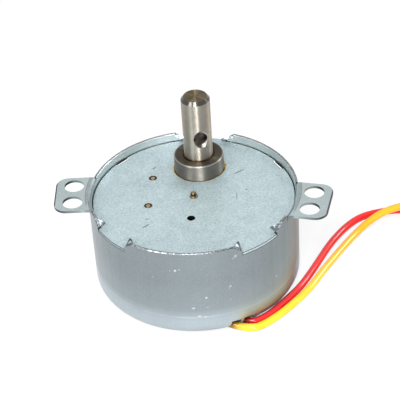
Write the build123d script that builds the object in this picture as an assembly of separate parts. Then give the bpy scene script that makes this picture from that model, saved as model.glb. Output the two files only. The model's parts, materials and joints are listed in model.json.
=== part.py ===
"""A small claw-pole synchronous motor with a built-in reduction gear, in millimetres.

The frame has its origin in the middle of the cup's bottom, +Z along the rotor and +X along the ears.
"""

from build123d import *
import math
import os

# Cup: drawn sheet steel
WALL_T = 0.7
FLOOR_T = 1.0
CORNER_R = 3.0
RIM_H = 2.2
RIM_BREAK = 0.15

# Ears: bent outward from the rim
EAR_EDGE = 0.93
EAR_LENGTH = 8.0
EAR_CORNER_R = 3.0
EAR_BEND_R = 0.6
EAR_HOLE_D = 4.8
EAR_HOLE_OUT = 3.8
EAR_HOLE_STEP = 13.2
EAR_RELIEF_W = 0.3
EAR_RELIEF_DEPTH = 0.3

# Cover and the folded corners that hold it
COVER_T = 0.8
COVER_GAP = 0.15
COVER_BREAK = 0.12
LUG_ANGLES = (90.0, 225.0, 315.0)
LUG_W = 10.0
LUG_SIDE_GAP = 0.2
LUG_SHORT = 0.05
FOLD_W = 2.4
FOLD_ROOT = 0.35
FOLD_TIP_UP = 1.45
FOLD_TIP_OVER = 0.5
FOLD_REACHES = ((2.2, 2.2), (1.7, 2.6), (2.6, 1.7))
FOLD_SINK = 0.15
EDGE_SLOT_ANGLES = (35.7, 144.3)
EDGE_SLOT_W = 3.7
EDGE_SLOT_DEPTH = 0.4
SPARE_HOLE_D = 1.9
SPARE_HOLE_OUT = 8.6
SPARE_HOLE_SIDE = 0.4

# Output shaft and its bush
SHAFT_D = 7.0
SHAFT_OFFSET = 12.2
SHAFT_ABOVE_BUSH = 16.5
SHAFT_END_H = 0.8
SHAFT_END_DROP = 0.65
SHAFT_GROUND_L = 13.5
BEARING_STEP = 0.02
OIL_GROOVE_H = 0.6
OIL_GROOVE_DEPTH = 0.25
OIL_GROOVE_UP = 0.1
SEAT_D = 5.6
JOURNAL_D = 4.0
CROSS_HOLE_D = 3.4
CROSS_HOLE_SINK_D = 4.9
CROSS_HOLE_SINK_ANGLE = 110.0
CROSS_HOLE_UP = 6.1
CROSS_HOLE_TURN = -67.5
BUSH_D = 12.1
BUSH_H = 4.1
BUSH_CHAMFER = 0.25
BUSH_SPIGOT_D = 9.2
BUSH_STAKE_H = 0.65
BUSH_RECESS_D = 7.9
BUSH_RECESS_DEPTH = 0.15
RUNNING_GAP = 0.04

# Arbors and washers
ARBOR_D = 1.8
ARBOR_CHAMFER = 0.3
ROTOR_PIN_COLLAR = 0.4
ROTOR_PIN_STAND = 1.15
ROTOR_PIN_END_D = 1.35
ROTOR_PIN_CHAMFER = 0.15
WASHER_T = 0.3
WASHER_D = 5.0
THRUST_WASHER_T = 0.4
THRUST_WASHER_D = 11.0
SLEEVE_D = 3.0
PLAY = 0.2
SEAT_GAP = 0.05

# Gear train: module, teeth and widths
FINE_MODULE = 0.4
COARSE_MODULE = 0.5
ROTOR_TEETH = 16
FIRST_WHEEL_TEETH = 40
FIRST_PINION_TEETH = 16
SECOND_WHEEL_TEETH = 40
SECOND_PINION_TEETH = 13
OUTPUT_WHEEL_TEETH = 35
PRESSURE_ANGLE = 25.0
ADDENDUM = 0.8
DEDENDUM = 1.1
BACKLASH = 0.07
FIRST_ARBOR_TURN = 201.8
WHEEL_T = 1.2
OUTPUT_WHEEL_T = 2.8
BOSS_H = 0.3
LEVEL_GAP = 0.6
GEAR_EDGE = 0.5

# Stator and rotor
POLE_PAIRS = 12
POLE_T = 1.0
POLE_RING_T = 0.8
GEAR_PLATE_T = 1.0
CLAW_T = 0.8
CLAW_ROOT_W = 4.4
CLAW_TIP_W = 2.2
CLAW_END_GAP = 0.9
BOBBIN_H = 9.2
BOBBIN_WALL = 0.8
BOBBIN_GAP = 0.5
BOBBIN_EDGE = 1.3
WINDING_DEPTH = 6.0
WINDING_EDGE = 0.7
TAPE_T = 0.2
FIT_GAP = 0.05
MAGNET_D = 27.2
MAGNET_T = 3.4
MAGNET_END_GAP = 0.8
AIR_GAP = 0.6
HUB_WEB_T = 3.0
HUB_D = 5.0
PLATE_HOLE_GAP = 0.5

# Leads: insulated stranded wire
LEAD_D = 1.85
LEAD_LIFT = 0.025
LEAD_PITCH = 2.4
EXIT_TURN = -67.52
EXIT_INSET = 4.57
EXIT_HEADING = -25.0
YELLOW_GUIDE_L = 9.4
RED_GUIDE_L = 7.0
GROOVE_GAP = 0.1
GROMMET_W = 4.8
GROMMET_L = 3.5
GROMMET_H = 1.9
POLE_NOTCH_W = 6.8
POLE_NOTCH_L = 14.0
POLE_NOTCH_GAP = 0.3
COIL_MEAN_R = 10.5
COIL_STEP = 2.4
COIL_TURNS = 2.5
TIE_T = 0.25
TIE_W = 1.4
TIE_GAP = 0.15
TIP_D = 0.9
TIP_L = 6.0
LEAST_GAP = 0.4
RUN_SHARE = 0.45

# Route of each lead, from its straight run out of the grommet to its coil
YELLOW_POINTS = [
    (20.6, -20.2, 0.95),
    (24.8, -14.2, 0.95),
    (27.9, -7.4, 0.95),
    (30.6, -0.8, 0.95),
    (33.5, 5.4, 0.95),
    (36.4, 11.4, 0.95),
    (39.4, 16.8, 0.95),
    (42.4, 20.1, 1.9),
    (46.4, 22.3, 3.25),
    (52.6, 24.6, 3.25),
    (57.6, 26.6, 1.35),
    (63.2, 27.4, 1.35),
]
RED_POINTS = [
    (19.0, -18.3, 0.95),
    (22.2, -13.4, 0.95),
    (25.3, -7.2, 0.95),
    (27.3, -1.2, 0.95),
    (29.9, 5.0, 0.95),
    (32.3, 11.0, 0.95),
    (35.4, 17.0, 0.95),
    (39.0, 21.6, 0.95),
    (44.2, 23.3, 0.95),
    (50.4, 23.6, 0.95),
    (56.6, 23.2, 1.35),
    (62.6, 23.4, 1.35),
]

# Heights, stacked from the bottom of the cup
BOBBIN_Z = FLOOR_T + POLE_T
POLE_RING_Z = BOBBIN_Z + BOBBIN_H
GEAR_PLATE_Z = POLE_RING_Z + POLE_RING_T
GEAR_Z = GEAR_PLATE_Z + GEAR_PLATE_T
FIRST_BOSS_Z = GEAR_Z + WASHER_T + PLAY
FIRST_WHEEL_Z = FIRST_BOSS_Z + BOSS_H
FIRST_TOP_Z = FIRST_WHEEL_Z + WHEEL_T
SECOND_WHEEL_Z = FIRST_TOP_Z + LEVEL_GAP
SECOND_TOP_Z = SECOND_WHEEL_Z + WHEEL_T
OUTPUT_WHEEL_Z = SECOND_TOP_Z + LEVEL_GAP
OUTPUT_TOP_Z = OUTPUT_WHEEL_Z + OUTPUT_WHEEL_T
THRUST_Z = OUTPUT_TOP_Z + PLAY
BUSH_LOW_Z = THRUST_Z + THRUST_WASHER_T + SEAT_GAP
COVER_Z = BUSH_LOW_Z + BUSH_STAKE_H
COVER_TOP_Z = COVER_Z + COVER_T
BODY_H = COVER_TOP_Z + RIM_H
BUSH_TOP_Z = COVER_TOP_Z + BUSH_H
SHAFT_TOP_Z = BUSH_TOP_Z + SHAFT_ABOVE_BUSH
CROSS_HOLE_Z = BUSH_TOP_Z + CROSS_HOLE_UP
GEAR_TOP_Z = COVER_Z - PLAY

UPRIGHT = (Align.CENTER, Align.CENTER, Align.MIN)
OVERCUT = 1.0


def polar(radius, degrees):
    """A point in the XY plane."""
    angle = math.radians(degrees)
    return (radius * math.cos(angle), radius * math.sin(angle))


def rod(radius, low, high, at=(0.0, 0.0)):
    """An upright cylinder between two heights."""
    return Pos(at[0], at[1], low) * Cylinder(radius, high - low, align=UPRIGHT)


def tube(outer_r, inner_r, low, high, at=(0.0, 0.0)):
    """An upright ring between two heights."""
    return rod(outer_r, low, high, at) - rod(inner_r, low - OVERCUT, high + OVERCUT, at)


def slab(length, width, low, high, centre_x=0.0):
    """An upright box, centred on the X axis."""
    return Pos(centre_x, 0, low) * Box(length, width, high - low, align=UPRIGHT)


def centre_distance(teeth_a, teeth_b, module):
    """Distance between the axes of two meshed gears."""
    return (teeth_a + teeth_b) * module / 2


def tip_radius(teeth, module):
    """Radius of a gear over the tips of its teeth."""
    return (teeth / 2 + ADDENDUM) * module


# Axes of the gear train: each arbor stands at its two meshes' centre distances
SHAFT_AT = (0.0, SHAFT_OFFSET)
ROTOR_AT = (0.0, 0.0)
FIRST_AT = polar(centre_distance(ROTOR_TEETH, FIRST_WHEEL_TEETH, FINE_MODULE), FIRST_ARBOR_TURN)


def meeting_point(a, a_radius, b, b_radius):
    """Where two circles meet, on the left going from a to b."""
    span = math.dist(a, b)
    along = (a_radius**2 - b_radius**2 + span**2) / (2 * span)
    across = math.sqrt(a_radius**2 - along**2)
    ux = (b[0] - a[0]) / span
    uy = (b[1] - a[1]) / span
    return (a[0] + along * ux - across * uy, a[1] + along * uy + across * ux)


SECOND_AT = meeting_point(
    FIRST_AT,
    centre_distance(FIRST_PINION_TEETH, SECOND_WHEEL_TEETH, FINE_MODULE),
    SHAFT_AT,
    centre_distance(SECOND_PINION_TEETH, OUTPUT_WHEEL_TEETH, COARSE_MODULE),
)


# Radii that several pieces share: the stator and the gear train both have to fit in the cup
MAGNET_R = MAGNET_D / 2
CLAW_IN_R = MAGNET_R + AIR_GAP
CLAW_OUT_R = CLAW_IN_R + CLAW_T
BOBBIN_IN_R = CLAW_OUT_R + BOBBIN_GAP
CORE_R = BOBBIN_IN_R + BOBBIN_WALL
WINDING_R = CORE_R + WINDING_DEPTH
BOBBIN_OUT_R = WINDING_R + WINDING_EDGE
GEAR_REACH = max(
    SHAFT_OFFSET + tip_radius(OUTPUT_WHEEL_TEETH, COARSE_MODULE),
    math.hypot(*FIRST_AT) + tip_radius(FIRST_WHEEL_TEETH, FINE_MODULE),
    math.hypot(*SECOND_AT) + tip_radius(SECOND_WHEEL_TEETH, FINE_MODULE),
)
INNER_R = max(BOBBIN_OUT_R + BOBBIN_EDGE, GEAR_REACH + GEAR_EDGE)
BODY_R = INNER_R + WALL_T
ARBOR_R = ARBOR_D / 2
BEARING_R = SHAFT_D / 2 + BEARING_STEP
LEAD_R = LEAD_D / 2
EAR_HOLE_R = EAR_HOLE_D / 2
EAR_HOLE_AT = BODY_R + EAR_HOLE_OUT
EAR_W = 2 * (EAR_HOLE_AT * math.sin(math.radians(EAR_HOLE_STEP / 2)) + EAR_HOLE_R + EAR_EDGE)


def direction(start, end):
    """Heading from one axis to another, in degrees."""
    return math.degrees(math.atan2(end[1] - start[1], end[0] - start[0]))


def toothed(teeth, module, low, high, at, facing, tooth_there):
    """A spur gear with involute flanks. A tooth, or else a space, points in the facing direction."""
    pitch_r = teeth * module / 2
    base_r = pitch_r * math.cos(math.radians(PRESSURE_ANGLE))
    tip_r = tip_radius(teeth, module)
    root_r = pitch_r - DEDENDUM * module
    half_at_pitch = math.pi / (2 * teeth) - BACKLASH / (2 * pitch_r)

    def involute(radius):
        pressure = math.acos(min(1.0, base_r / radius))
        return math.tan(pressure) - pressure

    def flank_point(radius, middle, side):
        half = half_at_pitch + involute(pitch_r) - involute(radius)
        return polar(radius, math.degrees(middle + side * half))

    start_r = max(base_r, root_r)
    first = math.radians(facing) + (0 if tooth_there else math.pi / teeth)
    edges = []
    for tooth in range(teeth):
        middle = first + tooth * 2 * math.pi / teeth
        following = middle + 2 * math.pi / teeth
        for side in (-1, 1):
            foot = flank_point(root_r, middle, side)
            start = flank_point(start_r, middle, side)
            halfway = flank_point((start_r + tip_r) / 2, middle, side)
            edges.append(ThreePointArc(start, halfway, flank_point(tip_r, middle, side)))
            if root_r < base_r:
                edges.append(Line(foot, start))
        edges.append(Line(flank_point(tip_r, middle, -1), flank_point(tip_r, middle, 1)))
        edges.append(Line(flank_point(root_r, middle, 1), flank_point(root_r, following, -1)))
    return Pos(at[0], at[1], low) * extrude(make_face(edges), high - low)


def ear_outline():
    """The flat ear, along +X, with its two holes."""
    reach = BODY_R + EAR_LENGTH
    blank = slab(reach, EAR_W, BODY_H - WALL_T, BODY_H, reach / 2)
    corners = blank.edges().filter_by(Axis.Z).group_by(Axis.X)[-1]
    ear = fillet(corners, EAR_CORNER_R)
    for side in (-1, 1):
        hole = polar(EAR_HOLE_AT, side * EAR_HOLE_STEP / 2)
        ear -= rod(EAR_HOLE_R, BODY_H - WALL_T - OVERCUT, BODY_H + OVERCUT, hole)
    return ear - rod(BODY_R - WALL_T / 2, 0, BODY_H + OVERCUT)


def bend_ring(inner_r, outer_r, low, high, radius):
    """A ring with a square section, less a round about the bend's centre, over the ear's width only."""
    bend_z = BODY_H - WALL_T - EAR_BEND_R
    ring = tube(outer_r, inner_r, low, high)
    round_bar = Pos(0, 0, bend_z) * Torus(BODY_R + EAR_BEND_R, radius)
    return (ring - round_bar) & slab(BODY_R + EAR_LENGTH, EAR_W, 0, BODY_H + OVERCUT, BODY_R)


def with_ears(cup):
    """Add the two ears with their bends and the relief cuts beside them."""
    bend_z = BODY_H - WALL_T - EAR_BEND_R
    bend_out_r = BODY_R + EAR_BEND_R
    under = bend_ring(BODY_R - FIT_GAP, bend_out_r, bend_z, BODY_H - WALL_T + FIT_GAP, EAR_BEND_R)
    shoulder = bend_ring(INNER_R - FIT_GAP, bend_out_r, bend_z, BODY_H + OVERCUT, EAR_BEND_R + WALL_T)
    relief_y = (EAR_W + EAR_RELIEF_W) / 2
    relief = Pos(BODY_R, 0, bend_z - EAR_RELIEF_DEPTH) * Box(
        4 * WALL_T, EAR_RELIEF_W, BODY_H, align=UPRIGHT
    )
    for turn in (-EAR_HOLE_STEP / 2, 180 + EAR_HOLE_STEP / 2):
        cup += Rot(0, 0, turn) * (ear_outline() + under)
        cup -= Rot(0, 0, turn) * shoulder
        for side in (-1, 1):
            cup -= Rot(0, 0, turn) * Pos(0, side * relief_y, 0) * relief
    return cup


NOTCH_W = LUG_W + 2 * LUG_SIDE_GAP
NOTCH_HALF_TURN = math.asin(NOTCH_W / 2 / BODY_R)
FOLD_Z = COVER_TOP_Z + FOLD_ROOT


def wall_point(lug_angle, side, along, radius, height):
    """A point of the wall beside a notch, a length along the rim from the notch's end."""
    turn = math.radians(lug_angle) + side * (NOTCH_HALF_TURN + along / BODY_R)
    return (radius * math.cos(turn), radius * math.sin(turn), height)


def folded_corner(lug_angle, side, reach):
    """The wall's corner beside a notch: what the fold takes away, and the tongue that it makes."""
    rise = BODY_H - FOLD_Z

    def at(along, radius, height):
        return Vector(*wall_point(lug_angle, side, along, radius, height))

    root_r = BODY_R - FIT_GAP
    first = at(FIT_GAP, root_r, FOLD_Z - FOLD_SINK)
    second = at(FOLD_W, root_r, BODY_H - FOLD_SINK)
    tip = at(-FOLD_TIP_OVER, BODY_R - reach, COVER_TOP_Z + FOLD_TIP_UP)
    through = (second - first).cross(tip - first)
    top = Face(Wire.make_polygon([first, second, tip], close=True))
    tongue = extrude(top, WALL_T, dir=through * math.copysign(1, -through.Z))
    tongue -= rod(INNER_R + FIT_GAP, 0, COVER_TOP_Z)
    slope = rise / FOLD_W
    removed = []
    for radius in (BODY_R + OVERCUT, INNER_R - OVERCUT):
        corners = [
            at(-OVERCUT, radius, FOLD_Z - slope * OVERCUT),
            at(FOLD_W + OVERCUT, radius, BODY_H + slope * OVERCUT),
            at(-OVERCUT, radius, BODY_H + slope * OVERCUT),
        ]
        removed.append(Wire.make_polygon(corners, close=True))
    return Solid.make_loft(removed, ruled=True), tongue


def cup_envelope():
    """The cup's outside, filled."""
    blank = rod(BODY_R, 0, BODY_H)
    return fillet(blank.edges().sort_by(Axis.Z)[0], CORNER_R)


def exit_plane():
    """Where the leads leave the grommet: x along the leads, z up, origin between the two leads."""
    origin = polar(BODY_R - EXIT_INSET, EXIT_TURN)
    return Plane(origin=(*origin, 0), x_dir=(*polar(1, EXIT_HEADING), 0), z_dir=(0, 0, 1))


def route_from_grommet(side, guide_length, points):
    """A lead's whole route: a straight run out of the grommet, then the points chosen for it."""
    across = side * LEAD_PITCH / 2
    height = LEAD_R + LEAD_LIFT
    ends = [exit_plane().from_local_coords((along, across, height)) for along in (0, guide_length)]
    return [tuple(end) for end in ends] + points


YELLOW_ROUTE = route_from_grommet(-1, YELLOW_GUIDE_L, YELLOW_POINTS)
RED_ROUTE = route_from_grommet(1, RED_GUIDE_L, RED_POINTS)


def lead_groove(route):
    """The open groove that one lead needs through the cup's floor and lower corner."""
    entry = Vector(*route[0])
    heading = Vector(*route[1]) - entry
    width = LEAD_D + 2 * GROOVE_GAP
    path = cord_path([tuple(entry), *route[1:3]])
    across = Plane(origin=entry, x_dir=heading.cross(Vector(0, 0, 1)), z_dir=heading)
    depth = entry.Z + OVERCUT
    outline = Circle(width / 2) + Pos(0, -depth / 2) * Rectangle(width, depth)
    return sweep(across * outline, path=path)


def housing_cup():
    hollow = rod(INNER_R, FLOOR_T, BODY_H + OVERCUT)
    hollow = fillet(hollow.edges().sort_by(Axis.Z)[0], max(CORNER_R - WALL_T, FIT_GAP))
    shell = cup_envelope() - hollow
    shell = chamfer(shell.edges().group_by(Axis.Z)[-1], RIM_BREAK)
    cup = with_ears(shell)
    for angle, reaches in zip(LUG_ANGLES, FOLD_REACHES):
        notch = slab(4 * WALL_T, NOTCH_W, COVER_Z, BODY_H + OVERCUT, BODY_R)
        cup -= Rot(0, 0, angle) * notch
        for side, reach in zip((-1, 1), reaches):
            removed, tongue = folded_corner(angle, side, reach)
            cup = cup - removed + tongue
    cup -= rod(ARBOR_R, -OVERCUT, FLOOR_T + OVERCUT)
    cup -= exit_plane() * Pos(-GROMMET_L / 2, 0, -OVERCUT) * Box(
        GROMMET_L + 2 * FIT_GAP,
        GROMMET_W + 2 * FIT_GAP,
        GROMMET_H + FIT_GAP + OVERCUT,
        align=UPRIGHT,
    )
    for route in (YELLOW_ROUTE, RED_ROUTE):
        cup -= lead_groove(route)
    return cup


def cover_plate():
    cover = rod(INNER_R - COVER_GAP, COVER_Z, COVER_TOP_Z)
    for angle in EDGE_SLOT_ANGLES:
        slot = slab(2 * EDGE_SLOT_DEPTH, EDGE_SLOT_W, 0, BODY_H, INNER_R - COVER_GAP)
        cover -= Rot(0, 0, angle) * slot
    for angle in LUG_ANGLES:
        lug = slab(BODY_R, LUG_W, COVER_Z, COVER_TOP_Z, BODY_R / 2 + SHAFT_OFFSET)
        cover += (Rot(0, 0, angle) * lug) & rod(BODY_R - LUG_SHORT, COVER_Z, COVER_TOP_Z)
    rim = cover.faces().sort_by(Axis.Z)[-1].outer_wire()
    cover = chamfer(rim.edges(), COVER_BREAK)
    cover -= rod(BUSH_SPIGOT_D / 2, 0, BODY_H, SHAFT_AT)
    cover -= rod(SPARE_HOLE_D / 2, 0, BODY_H, (SPARE_HOLE_SIDE, -SPARE_HOLE_OUT))
    for axis in (ROTOR_AT, FIRST_AT, SECOND_AT):
        cover -= rod(ARBOR_R, 0, BODY_H, axis)
    return cover


def output_bush():
    collar = rod(BUSH_D / 2, COVER_TOP_Z, BUSH_TOP_Z, SHAFT_AT)
    collar = chamfer(collar.edges().sort_by(Axis.Z)[-1], BUSH_CHAMFER)
    bush = collar + rod(BUSH_SPIGOT_D / 2, BUSH_LOW_Z, COVER_TOP_Z, SHAFT_AT)
    bush -= rod(BUSH_RECESS_D / 2, BUSH_TOP_Z - BUSH_RECESS_DEPTH, SHAFT_TOP_Z, SHAFT_AT)
    return bush - rod(BEARING_R + RUNNING_GAP, 0, SHAFT_TOP_Z, SHAFT_AT)


def output_shaft():
    ground_z = SHAFT_TOP_Z - SHAFT_GROUND_L
    groove_z = BUSH_TOP_Z + OIL_GROOVE_UP
    end_z = SHAFT_TOP_Z - SHAFT_END_H
    shaft = rod(SHAFT_D / 2, ground_z, end_z, SHAFT_AT)
    taper = Cone(SHAFT_D / 2, SHAFT_D / 2 - SHAFT_END_DROP, SHAFT_END_H, align=UPRIGHT)
    shaft += Pos(SHAFT_AT[0], SHAFT_AT[1], end_z) * taper
    shaft += rod(BEARING_R, OUTPUT_TOP_Z, ground_z, SHAFT_AT)
    groove_r = BEARING_R - OIL_GROOVE_DEPTH
    shaft -= tube(BEARING_R + OVERCUT, groove_r, groove_z - OIL_GROOVE_H, groove_z, SHAFT_AT)
    shaft += rod(SEAT_D / 2, OUTPUT_WHEEL_Z, OUTPUT_TOP_Z, SHAFT_AT)
    shaft += rod(JOURNAL_D / 2, GEAR_PLATE_Z + PLAY, OUTPUT_WHEEL_Z, SHAFT_AT)
    cross = Pos(SHAFT_AT[0], SHAFT_AT[1], CROSS_HOLE_Z) * Rot(0, 0, CROSS_HOLE_TURN) * Rot(0, 90, 0)
    shaft -= cross * Cylinder(CROSS_HOLE_D / 2, SHAFT_D + 2 * OVERCUT)
    spread = math.tan(math.radians(CROSS_HOLE_SINK_ANGLE / 2))
    mouth_r = CROSS_HOLE_SINK_D / 2 + OVERCUT * spread
    depth = mouth_r / spread
    for side in (-1, 1):
        sink = Cone(0, mouth_r, depth, align=(Align.CENTER, Align.CENTER, Align.MAX))
        shaft -= cross * Rot(0, 90 - side * 90, 0) * Pos(0, 0, SHAFT_D / 2 + OVERCUT) * sink
    return shaft


def output_wheel():
    facing = direction(SHAFT_AT, SECOND_AT)
    wheel = toothed(
        OUTPUT_WHEEL_TEETH, COARSE_MODULE, OUTPUT_WHEEL_Z, OUTPUT_TOP_Z, SHAFT_AT, facing, False
    )
    return wheel - rod(SEAT_D / 2, 0, SHAFT_TOP_Z, SHAFT_AT)


def thrust_washer():
    high = THRUST_Z + THRUST_WASHER_T
    return tube(THRUST_WASHER_D / 2, BEARING_R + RUNNING_GAP, THRUST_Z, high, SHAFT_AT)


def cluster(at, boss_z, wheel_z, wheel, pinion, pinion_top):
    """A wheel, the pinion above it and a sleeve up to the cover, on one arbor."""
    wheel_top = wheel_z + WHEEL_T
    gear = toothed(*wheel[:2], wheel_z, wheel_top, at, wheel[2], False)
    gear += toothed(*pinion[:2], wheel_top, pinion_top, at, pinion[2], True)
    gear += rod(SLEEVE_D / 2, boss_z, wheel_z, at)
    gear += rod(SLEEVE_D / 2, pinion_top, GEAR_TOP_Z, at)
    return gear - rod(ARBOR_R + RUNNING_GAP, 0, BODY_H, at)


def first_cluster():
    wheel = (FIRST_WHEEL_TEETH, FINE_MODULE, direction(FIRST_AT, ROTOR_AT))
    pinion = (FIRST_PINION_TEETH, FINE_MODULE, direction(FIRST_AT, SECOND_AT))
    return cluster(FIRST_AT, FIRST_BOSS_Z, FIRST_WHEEL_Z, wheel, pinion, SECOND_TOP_Z + PLAY)


def second_cluster():
    wheel = (SECOND_WHEEL_TEETH, FINE_MODULE, direction(SECOND_AT, FIRST_AT))
    pinion = (SECOND_PINION_TEETH, COARSE_MODULE, direction(SECOND_AT, SHAFT_AT))
    return cluster(SECOND_AT, FIRST_BOSS_Z, SECOND_WHEEL_Z, wheel, pinion, OUTPUT_TOP_Z + PLAY)


def gear_arbors():
    arbors = [rod(ARBOR_R, GEAR_PLATE_Z, COVER_TOP_Z, at) for at in (FIRST_AT, SECOND_AT)]
    return [chamfer(arbor.edges().sort_by(Axis.Z)[-1], ARBOR_CHAMFER) for arbor in arbors]


def arbor_washers():
    ring_r = WASHER_D / 2
    bore_r = ARBOR_R + RUNNING_GAP
    return [tube(ring_r, bore_r, GEAR_Z, GEAR_Z + WASHER_T, at) for at in (FIRST_AT, SECOND_AT)]


def rotor_pin():
    end = rod(ROTOR_PIN_END_D / 2, COVER_TOP_Z, COVER_TOP_Z + ROTOR_PIN_STAND)
    end = chamfer(end.edges().sort_by(Axis.Z)[-1], ROTOR_PIN_CHAMFER)
    return rod(ARBOR_R, 0, COVER_TOP_Z + ROTOR_PIN_COLLAR) + end


def gear_plate():
    plate = rod(INNER_R - FIT_GAP, GEAR_PLATE_Z, GEAR_Z)
    plate -= rod(tip_radius(ROTOR_TEETH, FINE_MODULE) + PLATE_HOLE_GAP, 0, BODY_H)
    plate -= rod(JOURNAL_D / 2 + RUNNING_GAP, 0, BODY_H, SHAFT_AT)
    for axis in (FIRST_AT, SECOND_AT):
        plate -= rod(ARBOR_R, 0, BODY_H, axis)
    return plate


def claws(root_z, tip_z, first_turn):
    """Tapered pole claws on a circle, from a plate at root_z."""
    shape = Polyline(
        (-CLAW_ROOT_W / 2, root_z),
        (CLAW_ROOT_W / 2, root_z),
        (CLAW_TIP_W / 2, tip_z),
        (-CLAW_TIP_W / 2, tip_z),
        close=True,
    )
    blank = Plane.YZ.offset(CLAW_IN_R) * make_face(shape)
    claw = extrude(blank, CLAW_T, dir=(1, 0, 0))
    step = 360 / POLE_PAIRS
    return [Rot(0, 0, first_turn + step * count) * claw for count in range(POLE_PAIRS)]


def upper_pole_ring():
    ring = tube(INNER_R - FIT_GAP, CLAW_IN_R, POLE_RING_Z, GEAR_PLATE_Z)
    fingers = claws(POLE_RING_Z + FIT_GAP, BOBBIN_Z + CLAW_END_GAP, 180 / POLE_PAIRS)
    return ring + fingers


def lower_pole_plate():
    plate = tube(BODY_R - CORNER_R - FIT_GAP, CLAW_IN_R, FLOOR_T, BOBBIN_Z)
    plate += claws(BOBBIN_Z - FIT_GAP, POLE_RING_Z - CLAW_END_GAP, 0)
    notch = Box(POLE_NOTCH_L, POLE_NOTCH_W, 2 * POLE_T, align=(Align.MIN, Align.CENTER, Align.MIN))
    back = -GROMMET_L - POLE_NOTCH_GAP
    return plate - exit_plane() * Pos(back, 0, FLOOR_T - POLE_T / 2) * notch


def coil_bobbin():
    flange_low = tube(BOBBIN_OUT_R, BOBBIN_IN_R, BOBBIN_Z, BOBBIN_Z + BOBBIN_WALL)
    flange_high = tube(BOBBIN_OUT_R, BOBBIN_IN_R, POLE_RING_Z - BOBBIN_WALL, POLE_RING_Z)
    return tube(CORE_R, BOBBIN_IN_R, BOBBIN_Z, POLE_RING_Z) + flange_low + flange_high


def coil_winding():
    return tube(WINDING_R, CORE_R, BOBBIN_Z + BOBBIN_WALL, POLE_RING_Z - BOBBIN_WALL)


def coil_tape():
    return tube(WINDING_R + TAPE_T, WINDING_R, BOBBIN_Z + BOBBIN_WALL, POLE_RING_Z - BOBBIN_WALL)


MAGNET_LOW_Z = BOBBIN_Z + MAGNET_END_GAP
MAGNET_HIGH_Z = POLE_RING_Z - MAGNET_END_GAP
MAGNET_IN_R = MAGNET_R - MAGNET_T


def rotor_magnet():
    return tube(MAGNET_R, MAGNET_IN_R, MAGNET_LOW_Z, MAGNET_HIGH_Z)


def rotor_hub():
    middle = (MAGNET_LOW_Z + MAGNET_HIGH_Z) / 2
    pinion_z = FIRST_WHEEL_Z - BOSS_H
    pinion_top = FIRST_TOP_Z + PLAY
    hub = rod(MAGNET_IN_R, middle - HUB_WEB_T / 2, middle + HUB_WEB_T / 2)
    hub += rod(HUB_D / 2, FLOOR_T + WASHER_T + PLAY, pinion_z)
    hub += toothed(
        ROTOR_TEETH, FINE_MODULE, pinion_z, pinion_top, ROTOR_AT, direction(ROTOR_AT, FIRST_AT), True
    )
    hub += rod(SLEEVE_D / 2, pinion_top, GEAR_TOP_Z)
    return hub - rod(ARBOR_R + RUNNING_GAP, 0, BODY_H)


def rotor_washer():
    return tube(WASHER_D / 2, ARBOR_R + RUNNING_GAP, FLOOR_T, FLOOR_T + WASHER_T)


def lead_grommet():
    block = Pos(-GROMMET_L / 2, 0, SEAT_GAP) * Box(
        GROMMET_L, GROMMET_W, GROMMET_H - SEAT_GAP, align=UPRIGHT
    )
    return (exit_plane() * block) & cup_envelope()


def corner_radii(route):
    """The largest round that each corner's two runs allow."""
    points = [Vector(*p) for p in route]
    radii = []
    for before, corner, after in zip(points, points[1:], points[2:]):
        turn = (corner - before).get_angle(after - corner)
        run = min((corner - before).length, (after - corner).length)
        radii.append(RUN_SHARE * run / math.tan(math.radians(turn) / 2))
    return radii


def cord_path(route):
    """Straight runs joined by tangent arcs."""
    return FilletPolyline(*route, radius=corner_radii(route))


def round_sweep(path, radius):
    """A round bar along a path."""
    section = Plane(origin=path @ 0, z_dir=path % 0) * Circle(radius)
    return sweep(section, path=path)


def lead(name, route):
    path = cord_path(route)
    bar = round_sweep(path, LEAD_R)
    share = bar.volume / (math.pi * LEAD_R**2 * path.length)
    radii = " ".join(f"{radius:.1f}" for radius in corner_radii(route))
    print(f"{name}: length {path.length:.1f}, volume share {share:.4f}, radii {radii}")
    return bar


def biarc(start, start_way, end, end_way):
    """Two tangent arcs between two points with given directions."""
    chord = end - start
    ways = start_way + end_way
    spread = 2 * (1 - start_way.dot(end_way))
    reach = chord.dot(ways)
    size = (math.sqrt(reach**2 + spread * chord.dot(chord)) - reach) / spread
    first_knee = start + start_way * size
    second_knee = end - end_way * size
    middle = (first_knee + second_knee) / 2
    return [
        Edge.make_tangent_arc(start, start_way, middle),
        Edge.make_tangent_arc(middle, second_knee - first_knee, end),
    ]


def coil_line(route, hand):
    """Centre of the coil, and its place and direction at a turn angle. The hand is 1 for a left-hand coil."""
    entry = Vector(*route[-1])
    heading = Vector(*route[-1]) - Vector(*route[-2])
    way = Vector(heading.X, heading.Y, 0).normalized()
    begin = entry + way * LEAD_D
    half = COIL_TURNS * math.pi
    swing = COIL_STEP * COIL_TURNS / 4
    left = Vector(-way.Y, way.X, 0) * hand
    outer_r = COIL_MEAN_R + swing

    def place(turn):
        radius = COIL_MEAN_R - swing + COIL_STEP * abs(turn - half) / (2 * math.pi)
        share = min(1.0, max(0.0, (turn - half) / math.pi + 0.5))
        lift = COIL_STEP * share**2 * (3 - 2 * share)
        spoke = way * math.sin(turn) - left * math.cos(turn)
        return begin + left * outer_r + spoke * radius + Vector(0, 0, lift)

    def aim(turn):
        if turn in (0.0, 2 * half):
            return way * math.cos(turn) + left * math.sin(turn)
        small = 0.01
        return (place(turn + small) - place(turn - small)).normalized()

    return entry, begin, place, aim


def least_gap(points):
    """The least clear gap between stretches of a tube that are not neighbours along it."""
    spacing = (points[1] - points[0]).length
    apart = math.ceil(3 * LEAD_D / spacing)
    least = math.inf
    for index, point in enumerate(points):
        for other in points[index + apart :]:
            least = min(least, (point - other).length)
    return least - LEAD_D


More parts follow.
